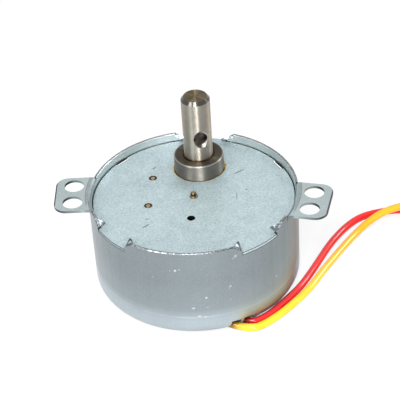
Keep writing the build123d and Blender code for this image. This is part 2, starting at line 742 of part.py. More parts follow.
def coil_parts(name, route, hand):
    """The wound part of a lead, its tie and its bare end."""
    entry, begin, place, aim = coil_line(route, hand)
    quarters = round(COIL_TURNS * 4)
    turns = [step * math.pi / 2 for step in range(quarters + 1)]
    edges = [Edge.make_line(entry, begin)]
    for turn, following in zip(turns, turns[1:]):
        edges += biarc(place(turn), aim(turn), place(following), aim(following))
    last_way = aim(turns[-1])
    end = place(turns[-1]) + last_way * LEAD_D
    edges.append(Edge.make_line(place(turns[-1]), end))
    path = Wire(edges)
    coil = round_sweep(path, LEAD_R)

    samples = 60 * quarters
    points = [place(turns[-1] * step / samples) for step in range(samples + 1)]
    gap = least_gap(points)
    print(f"{name}: length {path.length:.1f}, least gap to itself {gap:.2f}")
    if gap < LEAST_GAP:
        raise ValueError("the coil's turns lie too close")

    tip = Solid.make_cylinder(TIP_D / 2, TIP_L, Plane(origin=end, z_dir=last_way))

    tied_turn = COIL_TURNS * math.pi - math.pi
    low = place(tied_turn)
    high = place(tied_turn + 2 * math.pi)
    along = Vector(aim(tied_turn).X, aim(tied_turn).Y, 0)
    inner_w = LEAD_D + 2 * TIE_GAP
    inner_h = high.Z - low.Z + LEAD_D + 2 * TIE_GAP
    frame = Plane(origin=(low + high) / 2, x_dir=Vector(0, 0, 1), z_dir=along)
    band = Box(inner_h + 2 * TIE_T, inner_w + 2 * TIE_T, TIE_W) - Box(inner_h, inner_w, 2 * TIE_W)
    return coil, frame * band, tip


def save(name, shapes):
    """Write one node. A list of shapes is a group of separate solids."""
    if isinstance(shapes, list):
        shapes = Compound(children=[Solid(s.solid().wrapped) for s in shapes])
    export_step(shapes, f"parts/{name}.step")


os.makedirs("parts", exist_ok=True)

for piece in (
    housing_cup,
    cover_plate,
    output_bush,
    output_shaft,
    output_wheel,
    thrust_washer,
    first_cluster,
    second_cluster,
    gear_arbors,
    arbor_washers,
    rotor_pin,
    gear_plate,
    upper_pole_ring,
    lower_pole_plate,
    coil_bobbin,
    coil_winding,
    coil_tape,
    rotor_magnet,
    rotor_hub,
    rotor_washer,
    lead_grommet,
):
    save(piece.__name__, piece())

for colour, lead_route, coil_hand in (("yellow", YELLOW_ROUTE, 1), ("red", RED_ROUTE, -1)):
    save(f"{colour}_lead", lead(f"{colour}_lead", lead_route))
    wound, tie, bare_end = coil_parts(f"{colour}_lead_coil", lead_route, coil_hand)
    save(f"{colour}_lead_coil", wound)
    save(f"{colour}_coil_tie", tie)
    save(f"{colour}_lead_tip", bare_end)
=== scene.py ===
"""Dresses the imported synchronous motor: its finishes, its two leads and a plain studio stage.

Everything is in metres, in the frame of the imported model. Sizes that are easier to read in millimetres
are written so, and MM, ramp() and strip() carry them over.
"""

import json
import math
from types import SimpleNamespace

import bmesh
import bpy
from mathutils import Matrix, Quaternion, Vector


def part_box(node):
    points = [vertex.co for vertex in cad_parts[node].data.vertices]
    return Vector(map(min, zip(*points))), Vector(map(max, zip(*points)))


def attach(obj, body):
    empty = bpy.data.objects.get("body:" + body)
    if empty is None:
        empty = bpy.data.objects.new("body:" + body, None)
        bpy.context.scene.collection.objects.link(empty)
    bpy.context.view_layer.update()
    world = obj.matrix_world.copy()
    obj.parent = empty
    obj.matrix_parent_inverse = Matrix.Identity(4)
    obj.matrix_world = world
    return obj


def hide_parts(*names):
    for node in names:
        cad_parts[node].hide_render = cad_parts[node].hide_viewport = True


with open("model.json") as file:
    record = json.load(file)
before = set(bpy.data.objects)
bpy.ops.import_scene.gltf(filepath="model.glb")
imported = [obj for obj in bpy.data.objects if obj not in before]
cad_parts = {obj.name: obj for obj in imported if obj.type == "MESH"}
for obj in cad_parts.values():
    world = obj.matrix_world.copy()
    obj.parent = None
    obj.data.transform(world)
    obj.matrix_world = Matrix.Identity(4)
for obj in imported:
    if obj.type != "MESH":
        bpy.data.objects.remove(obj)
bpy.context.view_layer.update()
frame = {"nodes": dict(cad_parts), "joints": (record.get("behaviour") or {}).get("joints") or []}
NODES = frame["nodes"]
AXES = {joint["child"]: Vector(joint["pos_m"]) for joint in frame["joints"]}

bl_info = {
    "name": "Synchronous Motor",
    "version": (1, 0, 0),
    "blender": (4, 5, 0),
    "location": "3D View > Sidebar > Motor",
    "description": "Finishes, leads and stage for a small synchronous gear motor",
    "category": "Object",
}

MM = 0.001
MICRON = 1e-6

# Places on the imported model, in millimetres
BODY_R, RIM_TOP = (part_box("housing_cup")[1] / MM).yz
COVER_LOW, COVER_TOP = (corner.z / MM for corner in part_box("cover_plate"))
BUSH_R, BUSH_TOP = (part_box("output_bush")[1] / MM).xz
SHAFT_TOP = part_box("output_shaft")[1].z / MM
SHAFT_Y = AXES["output"].y / MM
PINS = tuple(tuple(AXES[body].xy / MM) for body in ("rotor", "first_gear", "second_gear"))
CUP_T = 0.7
INNER_R = BODY_R - CUP_T
SHAFT_TAPER = 0.8
CROSS_TURN = math.radians(-67.5)
LEAD_R = 0.925
SPARE_HOLE = (0.4, -8.6)
SPARE_HOLE_R = 0.95
NOTCH_TURNS = tuple(math.radians(angle) for angle in (90, 225, 315))
NOTCH_HALF_TURN = 0.2095
FOLD_TURN = 0.096
FOLD_LOW = 22.65
EAR_TURN = math.radians(6.6)
EAR_END = 33.0
SLOT_ANGLE = math.radians(35.7)
SLOT_HALF = 1.75
SLOT_INNER = 23.75
OIL_DROP = (5.6, 13.1)

# Heights on the wall between which a tone comes or goes, in millimetres
PAINTED_CONTACT_SHADE = (0.9, 1.8)
FOOT = (4.6, 7.8)
FOOT_LINE = (5.6, 5.85)
LOW_WALL = (7.0, 16.0)

# Distances to the side, and towards the back, between which a tone of the cup comes or goes
LINING_SHADE_SIDES = (6.0, 20.0)
EAR_ROOT = (24.3, 24.7)
EAR_EDGE = (25.4, 25.6)
EAR_SHADE = (25.8, 31.0)
WALL_BACK = (-14.0, -10.0)

# Distances from an axis between which a tone comes or goes
EAR_BEND = (BODY_R - 0.05, 25.75)
EAR_CREASE = (25.66, 25.84)
OIL_DROP_EDGE = (0.85, 1.1)
PIN_GAP = (0.80, 1.02)
PIN_RIM = (0.46, 0.58)
HOLE_MOUTH = (3.36, 3.42)
HOLE_PAINTED_LIGHT = (2.7, 3.15)
BUSH_RECESS = (3.75, 4.1)
BUSH_BRINK = (5.45, 5.7)
BUSH_LIP = (5.5, 5.7)
LEAD_ROOT_SHADOW = (BODY_R - 0.3, BODY_R + 1.5)
LEAD_FAR_SHADE = (29.0, 40.0)

# Painted shade on the wall and its foot to the right, which also takes some red out of the reflection
# there: where a tint sets in and is full, and the tint
WALL_SHADE_TINTS = (
    (12.0, 20.0, (0.82, 0.82, 0.80)),
    (20.5, 23.5, (0.88, 1.0, 1.0)),
)
FOOT_SHADE_TINT = (11.0, 16.0, (0.82, 0.97, 1.0))

# Tones that aren't a shade of a piece's own colour
LIT_LINING_TONES = ((0.88, 0.90, 0.895), (0.98, 1.0, 0.995))
SHADED_LINING_TONE = (0.54, 0.585, 0.58)
EAR_TONES = ((0.355, 0.418, 0.428), (0.49, 0.567, 0.577))
RIM_SPECK = (0.42, 0.41, 0.41)
EDGE_SPECK = (0.36, 0.335, 0.325)
DING_TONE = (0.95, 0.96, 0.96)
COVER_EDGE_SHADE_TONE = (0.055, 0.052, 0.035)
SPARE_HOLE_SHADE_TONE = (0.006, 0.006, 0.006)
PIN_GAP_SHADE_TONE = (0.10, 0.075, 0.05)
SLOT_GLINT_TONE = (0.92, 0.94, 0.94)
OIL_FRINGE_TONE = (0.36, 0.25, 0.04)
OIL_DROP_TONE = (0.30, 0.20, 0.02)
SHAFT_END_REFLECTION_TONES = ((0.105, 0.082, 0.046), (0.185, 0.150, 0.096))
CROSS_HOLE_SHADE_AND_LIGHT_TONES = ((0.13, 0.108, 0.09), (0.46, 0.44, 0.41))
BUSH_END_REFLECTION_TONES = ((0.058, 0.050, 0.036), (0.110, 0.098, 0.077))

# Lines up the wall and rings, to the metre, and the range that a noise mostly keeps to
DRAWN_LINES = (700.0, 700.0, 22.0)
RING_FINENESS = 9000.0
NOISE_RANGE = (0.3, 0.7)

# Oil round the bush, its reach in millimetres, and how sharply oil and scratches set in
OIL_REACH = 0.12
OIL_SPREAD = 0.3
OIL_FRINGE = 0.2
OIL_EDGE = 7000.0
SCRATCH_EDGE = 2.0

# Scratches on the cover: middle, turn in degrees, half length and half width, in millimetres
SCRATCHES = (
    (9.9, 10.6, 42.0, 2.2, 0.20),
    (12.3, 3.4, 42.0, 0.45, 0.20),
    (-9.9, -12.2, 48.0, 1.5, 0.22),
    (-11.1, 11.2, 54.0, 0.85, 0.24),
    (10.3, 0.6, -85.0, 2.0, 0.10),
    (-9.8, -9.4, 9.0, 0.75, 0.13),
    (19.5, 9.5, 2.0, 0.8, 0.12),
)

# Dings on the wall: turn in degrees, height and radius in millimetres, and strength
WALL_DINGS = (
    (-93.5, 19.65, 0.34, 0.9),
    (-91.3, 20.0, 0.22, 0.5),
    (-96.3, 19.5, 0.18, 0.4),
    (-78.0, 11.5, 0.30, 0.85),
    (-77.6, 8.6, 0.22, 0.4),
    (-84.9, 8.6, 0.26, 0.9),
    (-85.6, 8.55, 0.20, 0.7),
    (-83.0, 6.15, 0.22, 0.6),
    (-82.3, 6.12, 0.22, 0.8),
    (-81.6, 6.10, 0.22, 0.7),
    (-79.4, 5.85, 0.20, 0.6),
    (-78.7, 5.80, 0.20, 0.6),
    (-64.7, 13.7, 0.36, 0.45),
    (-65.4, 13.2, 0.24, 0.3),
    (-64.9, 9.8, 0.20, 0.35),
    (-61.1, 22.0, 0.42, 0.5),
    (-62.6, 21.6, 0.30, 0.3),
    (-34.5, 10.1, 0.30, 0.4),
    (-106.1, 16.9, 0.26, 0.3),
)

# Where a ding begins to fade and where it is gone, as shares of its radius
DING_CORE = 0.25
DING_REACH = 1.15

# Route of each lead from the grommet to the start of its coil, in millimetres
YELLOW_ROUTE = (
    (7.305, -19.966, 0.95),
    (14.6, -23.4, 0.95),
    (19.3, -19.9, 0.95),
    (23.9, -13.9, 0.95),
    (27.9, -7.4, 0.95),
    (30.6, -0.8, 0.95),
    (33.5, 5.4, 0.95),
    (36.4, 11.4, 0.95),
    (39.4, 16.8, 0.95),
    (42.4, 20.1, 1.9),
    (46.4, 22.3, 3.25),
    (53.4, 25.0, 3.5),
    (57.6, 26.6, 1.35),
    (63.2, 27.4, 1.35),
)
RED_ROUTE = (
    (8.319, -17.790, 0.95),
    (14.663, -20.749, 0.95),
    (18.45, -18.05, 0.95),
    (21.65, -13.3, 0.95),
    (25.5, -7.2, 0.95),
    (27.9, -1.2, 0.95),
    (30.1, 5.0, 0.95),
    (32.3, 11.0, 0.95),
    (35.4, 17.0, 0.95),
    (39.0, 21.6, 0.95),
    (43.4, 23.9, 0.95),
    (49.6, 25.6, 0.95),
    (56.6, 23.2, 1.35),
    (62.6, 23.4, 1.35),
)
COIL_TURNS = 2.5
COIL_STEP = 2.4
COIL_INNER_R = 9.0
COIL_OUTER_R = 12.0
COIL_LEAD_IN = 1.85
POINTS_PER_TURN = 16

# Each lead: name, route, side of its coil, colour in the shade (for its clouding and the painted shadow at
# the cup) and farther out (painted shade), and length in metres
LEADS = (
    ("yellow", YELLOW_ROUTE, 1.0, (0.92, 0.47, 0.012), (0.90, 0.39, 0.012), 0.2524),
    ("red", RED_ROUTE, -1.0, (0.72, 0.014, 0.016), (0.72, 0.012, 0.012), 0.2490),
)

# Ties round the coils, and the bare ends, in millimetres
TIE_T = 0.25
TIE_W = 1.4
TIE_GAP = 0.15
TIE_CORNER = 0.9
TIE_EDGE = 0.06
TIE_HEAD = (1.8, 1.1, 2.0)
TIE_HEAD_SINK = 0.1
TIE_HEAD_ROUND = 0.15
TIE_TAIL = (2.4, 0.3, 1.2)
TIE_TAIL_SHARE = 0.55
TIE_TAIL_ROUND = 0.08
STRAND_R = 0.15
STRAND_SIDES = 12
STRANDS = 6
TIP_L = 6.0
TIP_TWIST = 1.5
TIP_STEPS = 36
CORE_EXTRA = 0.1
SHARP_ANGLE = math.radians(40)

# Plain finishes: name, colour, metallic, roughness, clouds and grain to the metre, and relief in microns
RUBBER = ("Rubber, black", (0.035, 0.035, 0.037), 0.0, 0.62, 400, 2600, 20)
TIE_NYLON = ("Tie, clear nylon", (0.72, 0.72, 0.68), 0.0, 0.4, 300, 2600, 10)
TIN = ("Tinned copper", (0.60, 0.58, 0.54), 1.0, 0.3, 900, 5000, 10)
STEEL = ("Steel, bright", (0.52, 0.53, 0.54), 1.0, 0.34, 300, 3000, 8)
POLE_STEEL = ("Steel, pole plate", (0.40, 0.42, 0.45), 1.0, 0.42, 220, 2400, 12)
ACETAL = ("Acetal, ivory", (0.74, 0.70, 0.58), 0.0, 0.42, 260, 2400, 10)
NYLON = ("Nylon, black", (0.05, 0.05, 0.055), 0.0, 0.5, 260, 2200, 15)
COPPER = ("Copper, enamelled", (0.62, 0.24, 0.08), 0.9, 0.3, 500, 4200, 30)
FILM = ("Film tape", (0.62, 0.50, 0.14), 0.0, 0.3, 140, 1600, 10)
FERRITE = ("Ferrite", (0.075, 0.072, 0.075), 0.15, 0.55, 300, 3400, 20)

# The works inside: each finish and the nodes that have it
WORKS = (
    (STEEL, ("thrust_washer", "arbor_washers", "rotor_washer", "gear_plate")),
    (POLE_STEEL, ("upper_pole_ring", "lower_pole_plate")),
    (ACETAL, ("first_cluster", "second_cluster", "rotor_hub")),
    (NYLON, ("coil_bobbin",)),
    (COPPER, ("coil_winding",)),
    (FILM, ("coil_tape",)),
    (FERRITE, ("rotor_magnet",)),
)

# Lights: name, place, aim and side in metres, and watts
LIGHTS = (
    ("Key", (0.01, -0.43, 0.55), (0.0, 0.0, 0.015), 0.16, 3.2),
    ("Fill", (-0.33, -0.38, 0.50), (0.0, 0.0, 0.015), 0.22, 2.2),
    ("Low", (0.12, -0.49, 0.15), (0.0, 0.0, 0.03), 0.12, 1.4),
    ("Side", (0.43, 0.27, 0.355), (0.03, 0.0, 0.0), 0.06, 0.9),
)
WHITE = (1.0, 1.0, 1.0, 1.0)
PAPER = (0.86, 0.86, 0.86, 1.0)
PAPER_GLOW = 0.80
FLOOR_HALF = 1.5

COLOUR = {"subtype": "COLOR", "size": 3, "min": 0, "max": 1}


class MotorFinish(bpy.types.PropertyGroup):
    """Colours of the metal and moulded pieces."""

    cup: bpy.props.FloatVectorProperty(
        name="Cup", description="Plated steel of the drawn cup",
        default=(0.285, 0.328, 0.352), **COLOUR,
    )
    cover: bpy.props.FloatVectorProperty(
        name="Cover", description="Plated steel of the cover plate",
        default=(0.405, 0.50, 0.525), **COLOUR,
    )
    shaft: bpy.props.FloatVectorProperty(
        name="Shaft", description="Ground steel of the output shaft",
        default=(0.365, 0.33, 0.28), **COLOUR,
    )
    bush: bpy.props.FloatVectorProperty(
        name="Bush", description="Turned steel of the bush",
        default=(0.183, 0.175, 0.158), **COLOUR,
    )
    brass: bpy.props.FloatVectorProperty(
        name="Brass", description="Brass of the pins and the last gear",
        default=(0.40, 0.315, 0.205), **COLOUR,
    )
    oil: bpy.props.FloatVectorProperty(
        name="Oil", description="Old oil round the bush and the shaft",
        default=(0.16, 0.075, 0.012), **COLOUR,
    )


class MotorLeads(bpy.types.PropertyGroup):
    """Colours and sizes of the two leads."""

    yellow: bpy.props.FloatVectorProperty(
        name="Yellow", description="Insulation of the yellow lead",
        default=(0.94, 0.56, 0.035), **COLOUR,
    )
    red: bpy.props.FloatVectorProperty(
        name="Red", description="Insulation of the red lead",
        default=(0.80, 0.024, 0.026), **COLOUR,
    )
    radius: bpy.props.FloatProperty(
        name="Radius", description="Outer radius of a lead", subtype="DISTANCE", unit="LENGTH",
        default=LEAD_R * MM,
    )


class MotorStage(bpy.types.PropertyGroup):
    """Camera and light."""

    azimuth: bpy.props.FloatProperty(
        name="Azimuth", description="Camera's turn round the motor", subtype="ANGLE",
        default=math.radians(8.65),
    )
    elevation: bpy.props.FloatProperty(
        name="Elevation", description="Camera's height over the floor as an angle", subtype="ANGLE",
        default=math.radians(36.3655),
    )
    roll: bpy.props.FloatProperty(
        name="Roll", description="Camera's lean", subtype="ANGLE", default=math.radians(-3.70),
    )
    distance: bpy.props.FloatProperty(
        name="Distance", description="From the camera to its target", subtype="DISTANCE", unit="LENGTH",
        default=0.358939,
    )
    target: bpy.props.FloatVectorProperty(
        name="Target", description="Point in the middle of the picture", subtype="TRANSLATION", size=3,
        default=(0.0014325, 0.0002179, 0.021095),
    )
    lens: bpy.props.FloatProperty(
        name="Lens", description="Focal length in millimetres", default=135.0,
    )
    world: bpy.props.FloatProperty(
        name="World", description="Strength of the even light from all round", default=0.52,
    )


def feed(made, name, value):
    """Link a value to an input of a node, or set it there."""
    if isinstance(value, bpy.types.NodeSocket):
        value.id_data.links.new(value, made.inputs[name])
    else:
        made.inputs[name].default_value = value


def node(tree, kind, inputs=None, **values):
    """A new node with its attributes and the values of its inputs."""
    made = tree.nodes.new(kind)
    for key, value in values.items():
        setattr(made, key, value)
    for key, value in (inputs or {}).items():
        feed(made, key, value)
    return made


def tree_of(*values):
    """The node tree of the sockets among some values."""
    return next(value.id_data for value in values if isinstance(value, bpy.types.NodeSocket))


def maths(operation, a, b=0.0, clamp=False):
    """The output of a Math node."""
    made = node(tree_of(a, b), "ShaderNodeMath", {0: a, 1: b}, operation=operation, use_clamp=clamp)
    return made.outputs[0]


def times(product, *others):
    """Two or more values multiplied."""
    for other in others:
        product = maths("MULTIPLY", product, other)
    return product


def flipped(value):
    """What a value leaves of 1."""
    return maths("SUBTRACT", 1.0, value)


def larger(a, b):
    """The larger of two values."""
    return maths("MAXIMUM", a, b)


def vectors(operation, a, b=(0.0, 0.0, 0.0)):
    """The output of a Vector Math node: a number where the operation gives one."""
    made = node(tree_of(a, b), "ShaderNodeVectorMath", {0: a, 1: b}, operation=operation)
    return made.outputs["Value" if operation in ("DISTANCE", "DOT_PRODUCT", "LENGTH") else "Vector"]


def xyz(vector):
    """The three parts of a vector."""
    return tuple(node(tree_of(vector), "ShaderNodeSeparateXYZ", {0: vector}).outputs)


def level(x, y=0.0):
    """A vector with no height."""
    return node(tree_of(x), "ShaderNodeCombineXYZ", {0: x, 1: y}).outputs[0]


def noise(vector, scale, detail):
    """The value of a noise."""
    inputs = {"Vector": vector, "Scale": scale, "Detail": detail}
    return node(tree_of(vector), "ShaderNodeTexNoise", inputs).outputs[0]


def mapped(value, low, high, to_low=0.0, to_high=1.0):
    """A value carried from one range to another, held at the ends."""
    made = node(tree_of(value), "ShaderNodeMapRange", {0: value, 1: low, 2: high, 3: to_low, 4: to_high})
    return made.outputs[0]


def between(share, low, high):
    """A value between two others, by a share."""
    return mapped(share, 0.0, 1.0, low, high)


def spread(value, to_low=0.0, to_high=1.0):
    """A noise carried from the range that it mostly keeps to."""
    return mapped(value, *NOISE_RANGE, to_low, to_high)


def ramp(value, low, high, to_low=0.0, to_high=1.0):
    """A length carried from a range given in millimetres."""
    return mapped(value, low * MM, high * MM, to_low, to_high)


def band(value, low, high, soft):
    """1 between two values, falling to 0 over a soft edge."""
    up = mapped(value, low - soft, low + soft)
    return times(up, mapped(value, high - soft, high + soft, 1.0, 0.0))


def strip(value, low, high, soft):
    """A band of lengths given in millimetres."""
    return band(value, low * MM, high * MM, soft * MM)


def mixed(share, a, b, blend="MIX"):
    """Two colours mixed by a share."""
    made = node(tree_of(share), "ShaderNodeMix", {0: share}, data_type="RGBA", blend_type=blend)
    for index, value in ((6, a), (7, b)):
        feed(made, index, (*value, 1.0) if isinstance(value, tuple) else value)
    return made.outputs[2]


def wear(colour, factor):
    """A colour made lighter or darker."""
    return tuple(min(1.0, channel * factor) for channel in colour)


def shaded(share, colour, darker, lighter):
    """A colour between two of its shades, by a share."""
    return mixed(share, wear(colour, darker), wear(colour, lighter))


def object_place(tree):
    """The place on the piece, in metres."""
    return node(tree, "ShaderNodeTexCoord").outputs["Object"]


def new_group(name, inputs, outputs):
    """An empty shader group with float inputs and outputs, and its end nodes."""
    tree = bpy.data.node_groups.new(name, "ShaderNodeTree")
    for label, default in inputs:
        socket = tree.interface.new_socket(name=label, in_out="INPUT", socket_type="NodeSocketFloat")
        socket.default_value = default
    for label in outputs:
        tree.interface.new_socket(name=label, in_out="OUTPUT", socket_type="NodeSocketFloat")
    return tree, node(tree, "NodeGroupInput"), node(tree, "NodeGroupOutput")


def mottle_group():
    """Cloudy patches over a fine grain, as plating shows."""
    inputs = (("Cloud", 300.0), ("Grain", 3000.0), ("Grain share", 0.5))
    tree, into, out = new_group("Plating mottle", inputs, ("Cloudy", "Grainy", "Both"))
    place = object_place(tree)
    cloudy = spread(noise(place, into.outputs["Cloud"], detail=4))
    grainy = spread(noise(place, into.outputs["Grain"], detail=2))
    both = node(tree, "ShaderNodeMix", {0: into.outputs["Grain share"], 2: cloudy, 3: grainy}).outputs[0]
    feed(out, "Cloudy", cloudy)
    feed(out, "Grainy", grainy)
    feed(out, "Both", both)
    return tree


def scratch_group():
    """One short scratch, tapered to its ends."""
    inputs = (("X", 0.0), ("Y", 0.0), ("Turn", 0.0), ("Half length", 0.001), ("Half width", 0.0001))
    tree, into, out = new_group("Scratch", inputs, ("Mask",))
    middle = level(into.outputs["X"], into.outputs["Y"])
    moved = vectors("SUBTRACT", object_place(tree), middle)
    back = times(into.outputs["Turn"], -1.0)
    turned = node(tree, "ShaderNodeVectorRotate", {"Vector": moved, "Angle": back}, rotation_type="Z_AXIS")
    x, y, _ = xyz(turned.outputs[0])
    along = maths("DIVIDE", x, into.outputs["Half length"])
    across = maths("DIVIDE", maths("ABSOLUTE", y), into.outputs["Half width"])
    room = maths("SUBTRACT", flipped(times(along, along)), across)
    feed(out, "Mask", maths("MULTIPLY", room, SCRATCH_EDGE, clamp=True))
    return tree


def speck_group():
    """Small round dings, a few to the square centimetre."""
    inputs = (("Spacing", 250.0), ("Size", 0.1), ("Share", 0.2))
    tree, into, out = new_group("Dings", inputs, ("Mask",))
    where = {"Vector": object_place(tree), "Scale": into.outputs["Spacing"]}
    cells = node(tree, "ShaderNodeTexVoronoi", where)
    near = maths("LESS_THAN", cells.outputs["Distance"], into.outputs["Size"])
    drawn = node(tree, "ShaderNodeSeparateColor", {0: cells.outputs["Color"]}).outputs[0]
    chosen = maths("LESS_THAN", drawn, into.outputs["Share"])
    feed(out, "Mask", times(near, chosen))
    return tree


def turning_group():
    """Fine rings round an upright axis, as a lathe leaves, seen on both the side and the end."""
    inputs = (("Axis X", 0.0), ("Axis Y", 0.0), ("Fineness", RING_FINENESS))
    tree, into, out = new_group("Turning marks", inputs, ("Ring", "Radius", "Height"))
    axis = level(into.outputs["Axis X"], into.outputs["Axis Y"])
    x, y, height = xyz(vectors("SUBTRACT", object_place(tree), axis))
    radius = vectors("LENGTH", level(x, y))
    ring = noise(level(maths("ADD", radius, height)), into.outputs["Fineness"], detail=2)
    feed(out, "Ring", ring)
    feed(out, "Radius", radius)
    feed(out, "Height", height)
    return tree


GROUP_MAKERS = {
    "Plating mottle": mottle_group,
    "Scratch": scratch_group,
    "Dings": speck_group,
    "Turning marks": turning_group,
}


def placed(tree, name, values):
    """The outputs of a shared group with values of its own, by their names in small letters."""
    shared = bpy.data.node_groups.get(name) or GROUP_MAKERS[name]()
    made = node(tree, "ShaderNodeGroup", values, node_tree=shared)
    return SimpleNamespace(**{socket.name.lower(): socket for socket in made.outputs})


def mottle(tree, cloud, grain, share):
    """Mottle with clouds and grains to the metre, and the grain's share."""
    return placed(tree, "Plating mottle", {"Cloud": cloud, "Grain": grain, "Grain share": share})


def rings_round(tree, x, y, fineness=RING_FINENESS):
    """Turning marks round an upright axis, placed in millimetres."""
    return placed(tree, "Turning marks", {"Axis X": x * MM, "Axis Y": y * MM, "Fineness": fineness})


def nearest_pin(tree):
    """Distance from the nearest pin's axis."""
    nearest = 1.0
    for x, y in PINS:
        nearest = maths("MINIMUM", rings_round(tree, x, y).radius, nearest)
    return nearest


def finish(name, metallic):
    """A new material, its node tree and its Principled shader."""
    material = bpy.data.materials.new(name)
    material.use_nodes = True
    tree = material.node_tree
    shader = tree.nodes["Principled BSDF"]
    feed(shader, "Metallic", metallic)
    return material, tree, shader


def bumped(shader, height, microns):
    """Give a shader relief from a height between 0 and 1."""
    inputs = {"Height": height, "Distance": microns * MICRON, "Strength": 1.0}
    bump = node(tree_of(height), "ShaderNodeBump", inputs)
    feed(shader, "Normal", bump.outputs[0])


def streaked(shader, amount):
    """Draw the shine out along an upright turned piece, as marks round it do."""
    feed(shader, "Anisotropic", amount)
    feed(shader, "Anisotropic Rotation", 0.25)
    around = node(shader.id_data, "ShaderNodeTangent", direction_type="RADIAL", axis="Z")
    feed(shader, "Tangent", around.outputs[0])


def dress(material, *names):
    """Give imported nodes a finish."""
    for name in names:
        NODES[name].data.materials.clear()
        NODES[name].data.materials.append(material)


def notch_turn(place, radius):
    """Angle round the cup from the middle of the nearest notch."""
    nearest = -1.0
    for turn in NOTCH_TURNS:
        along = vectors("DOT_PRODUCT", place, (math.cos(turn), math.sin(turn), 0.0))
        nearest = larger(maths("DIVIDE", along, radius), nearest)
    return maths("ARCCOSINE", nearest)


def wall_dings(place):
    """The larger dings on the front of the wall."""
    dings = 0.0
    for turn, height, radius, strength in WALL_DINGS:
        angle = math.radians(turn)
        painted_glint = (BODY_R * MM * math.cos(angle), BODY_R * MM * math.sin(angle), height * MM)
        away = vectors("DISTANCE", place, painted_glint)
        dings = larger(ramp(away, DING_CORE * radius, DING_REACH * radius, strength, 0.0), dings)
    return dings


def cup_places(tree):
    """Where a point of the cup lies, and the clouds and specks of its plating."""
    place = object_place(tree)
    x, y, height = xyz(place)
    side = maths("ABSOLUTE", x)
    over = ramp(height, COVER_TOP - 0.1, COVER_TOP + 0.1)
    clouds = mottle(tree, cloud=130, grain=2400, share=0.55)
    return SimpleNamespace(
        **vars(clouds), place=place, x=x, y=y, height=height, side=side, over=over,
        radius=rings_round(tree, 0.0, 0.0).radius,
        ear=times(over, ramp(side, *EAR_ROOT)),
        specks=mapped(clouds.grainy, 0.55, 0.85),
        lines=noise(vectors("MULTIPLY", place, DRAWN_LINES), scale=1, detail=3),
    )


def cup_wall(at, colour):
    """The wall: satin with drawn lines, lighter towards its foot as a painted reflection, with painted
    shade at its very bottom and to the right.
    """
    satin = shaded(at.both, colour, 0.88, 1.12)
    drawn = mixed(mapped(at.lines, 0.45, 0.75, 0.0, 0.22), satin, wear(colour, 0.78))
    # Painted reflection: the wall grows lighter towards the bottom, most of all on its rounded foot, with
    # a painted highlight line where the foot begins.
    painted_lighter = mixed(ramp(at.height, *LOW_WALL, 0.35, 0.0), drawn, wear(colour, 1.5))
    foot = ramp(at.height, *FOOT, 1.0, 0.0)
    painted_foot_reflection = mixed(foot, painted_lighter, shaded(at.both, colour, 1.52, 1.76))
    line = times(strip(at.height, *FOOT_LINE, soft=0.25), at.cloudy)
    lined = mixed(line, painted_foot_reflection, wear(colour, 2.1))
    # Painted shade: darker at the very bottom, where the wall meets the floor.
    wall = mixed(ramp(at.height, *PAINTED_CONTACT_SHADE, 0.7, 0.0), lined, wear(colour, 0.75))
    # Painted shade: the wall and its foot darker to the right, with less red at the right edge.
    for low, high, tint in WALL_SHADE_TINTS:
        wall = mixed(ramp(at.x, low, high), wall, tint, "MULTIPLY")
    low, high, tint = FOOT_SHADE_TINT
    return mixed(times(foot, ramp(at.x, low, high)), wall, tint, "MULTIPLY")


def cup_rim(at, colour, below):
    """The inside of the rim, lighter as painted light and darker to the sides as painted shade, its
    speckled top and the flat ears.
    """
    lining = times(at.over, strip(at.radius, INNER_R - 0.1, INNER_R + 0.06, soft=0.03))
    # Painted light on the inside of the rim, and painted shade towards its sides.
    light = mixed(at.both, *LIT_LINING_TONES)
    shaded_sides = mixed(ramp(at.side, *LINING_SHADE_SIDES), light, SHADED_LINING_TONE)
    inside = mixed(lining, below, shaded_sides)
    top = ramp(at.height, RIM_TOP - 0.06, RIM_TOP - 0.02)
    beyond = ramp(at.radius, BODY_R + 0.05, BODY_R + 0.1)
    speckled = mixed(at.specks, wear(colour, 0.6), RIM_SPECK)
    capped = mixed(times(top, flipped(beyond)), inside, speckled)
    flat = larger(at.ear, times(top, beyond))
    return mixed(flat, capped, mixed(at.both, *EAR_TONES))


def cup_bends(at, colour, below):
    """Painted shade on the bend and in the crease at the root of an ear, and a painted shade line along
    its end.
    """
    # Painted shade on the bend and in the crease at the ear's root.
    bend = times(at.ear, strip(at.radius, *EAR_BEND, soft=0.15))
    bend_shade_share = times(bend, spread(at.grainy, 0.3, 0.8))
    bend_shaded = mixed(bend_shade_share, below, wear(colour, 0.8))
    crease_shade_share = times(at.ear, strip(at.radius, *EAR_CREASE, soft=0.06), 0.55)
    crease_shaded = mixed(crease_shade_share, bend_shaded, wear(colour, 0.45))
    # A painted shade line along the end of each ear.
    sideways, back = times(at.side, math.cos(EAR_TURN)), times(at.y, math.sin(EAR_TURN))
    reach = maths("SUBTRACT", sideways, back)
    return mixed(ramp(reach, EAR_END - 0.36, EAR_END - 0.22), crease_shaded, wear(colour, 0.18))


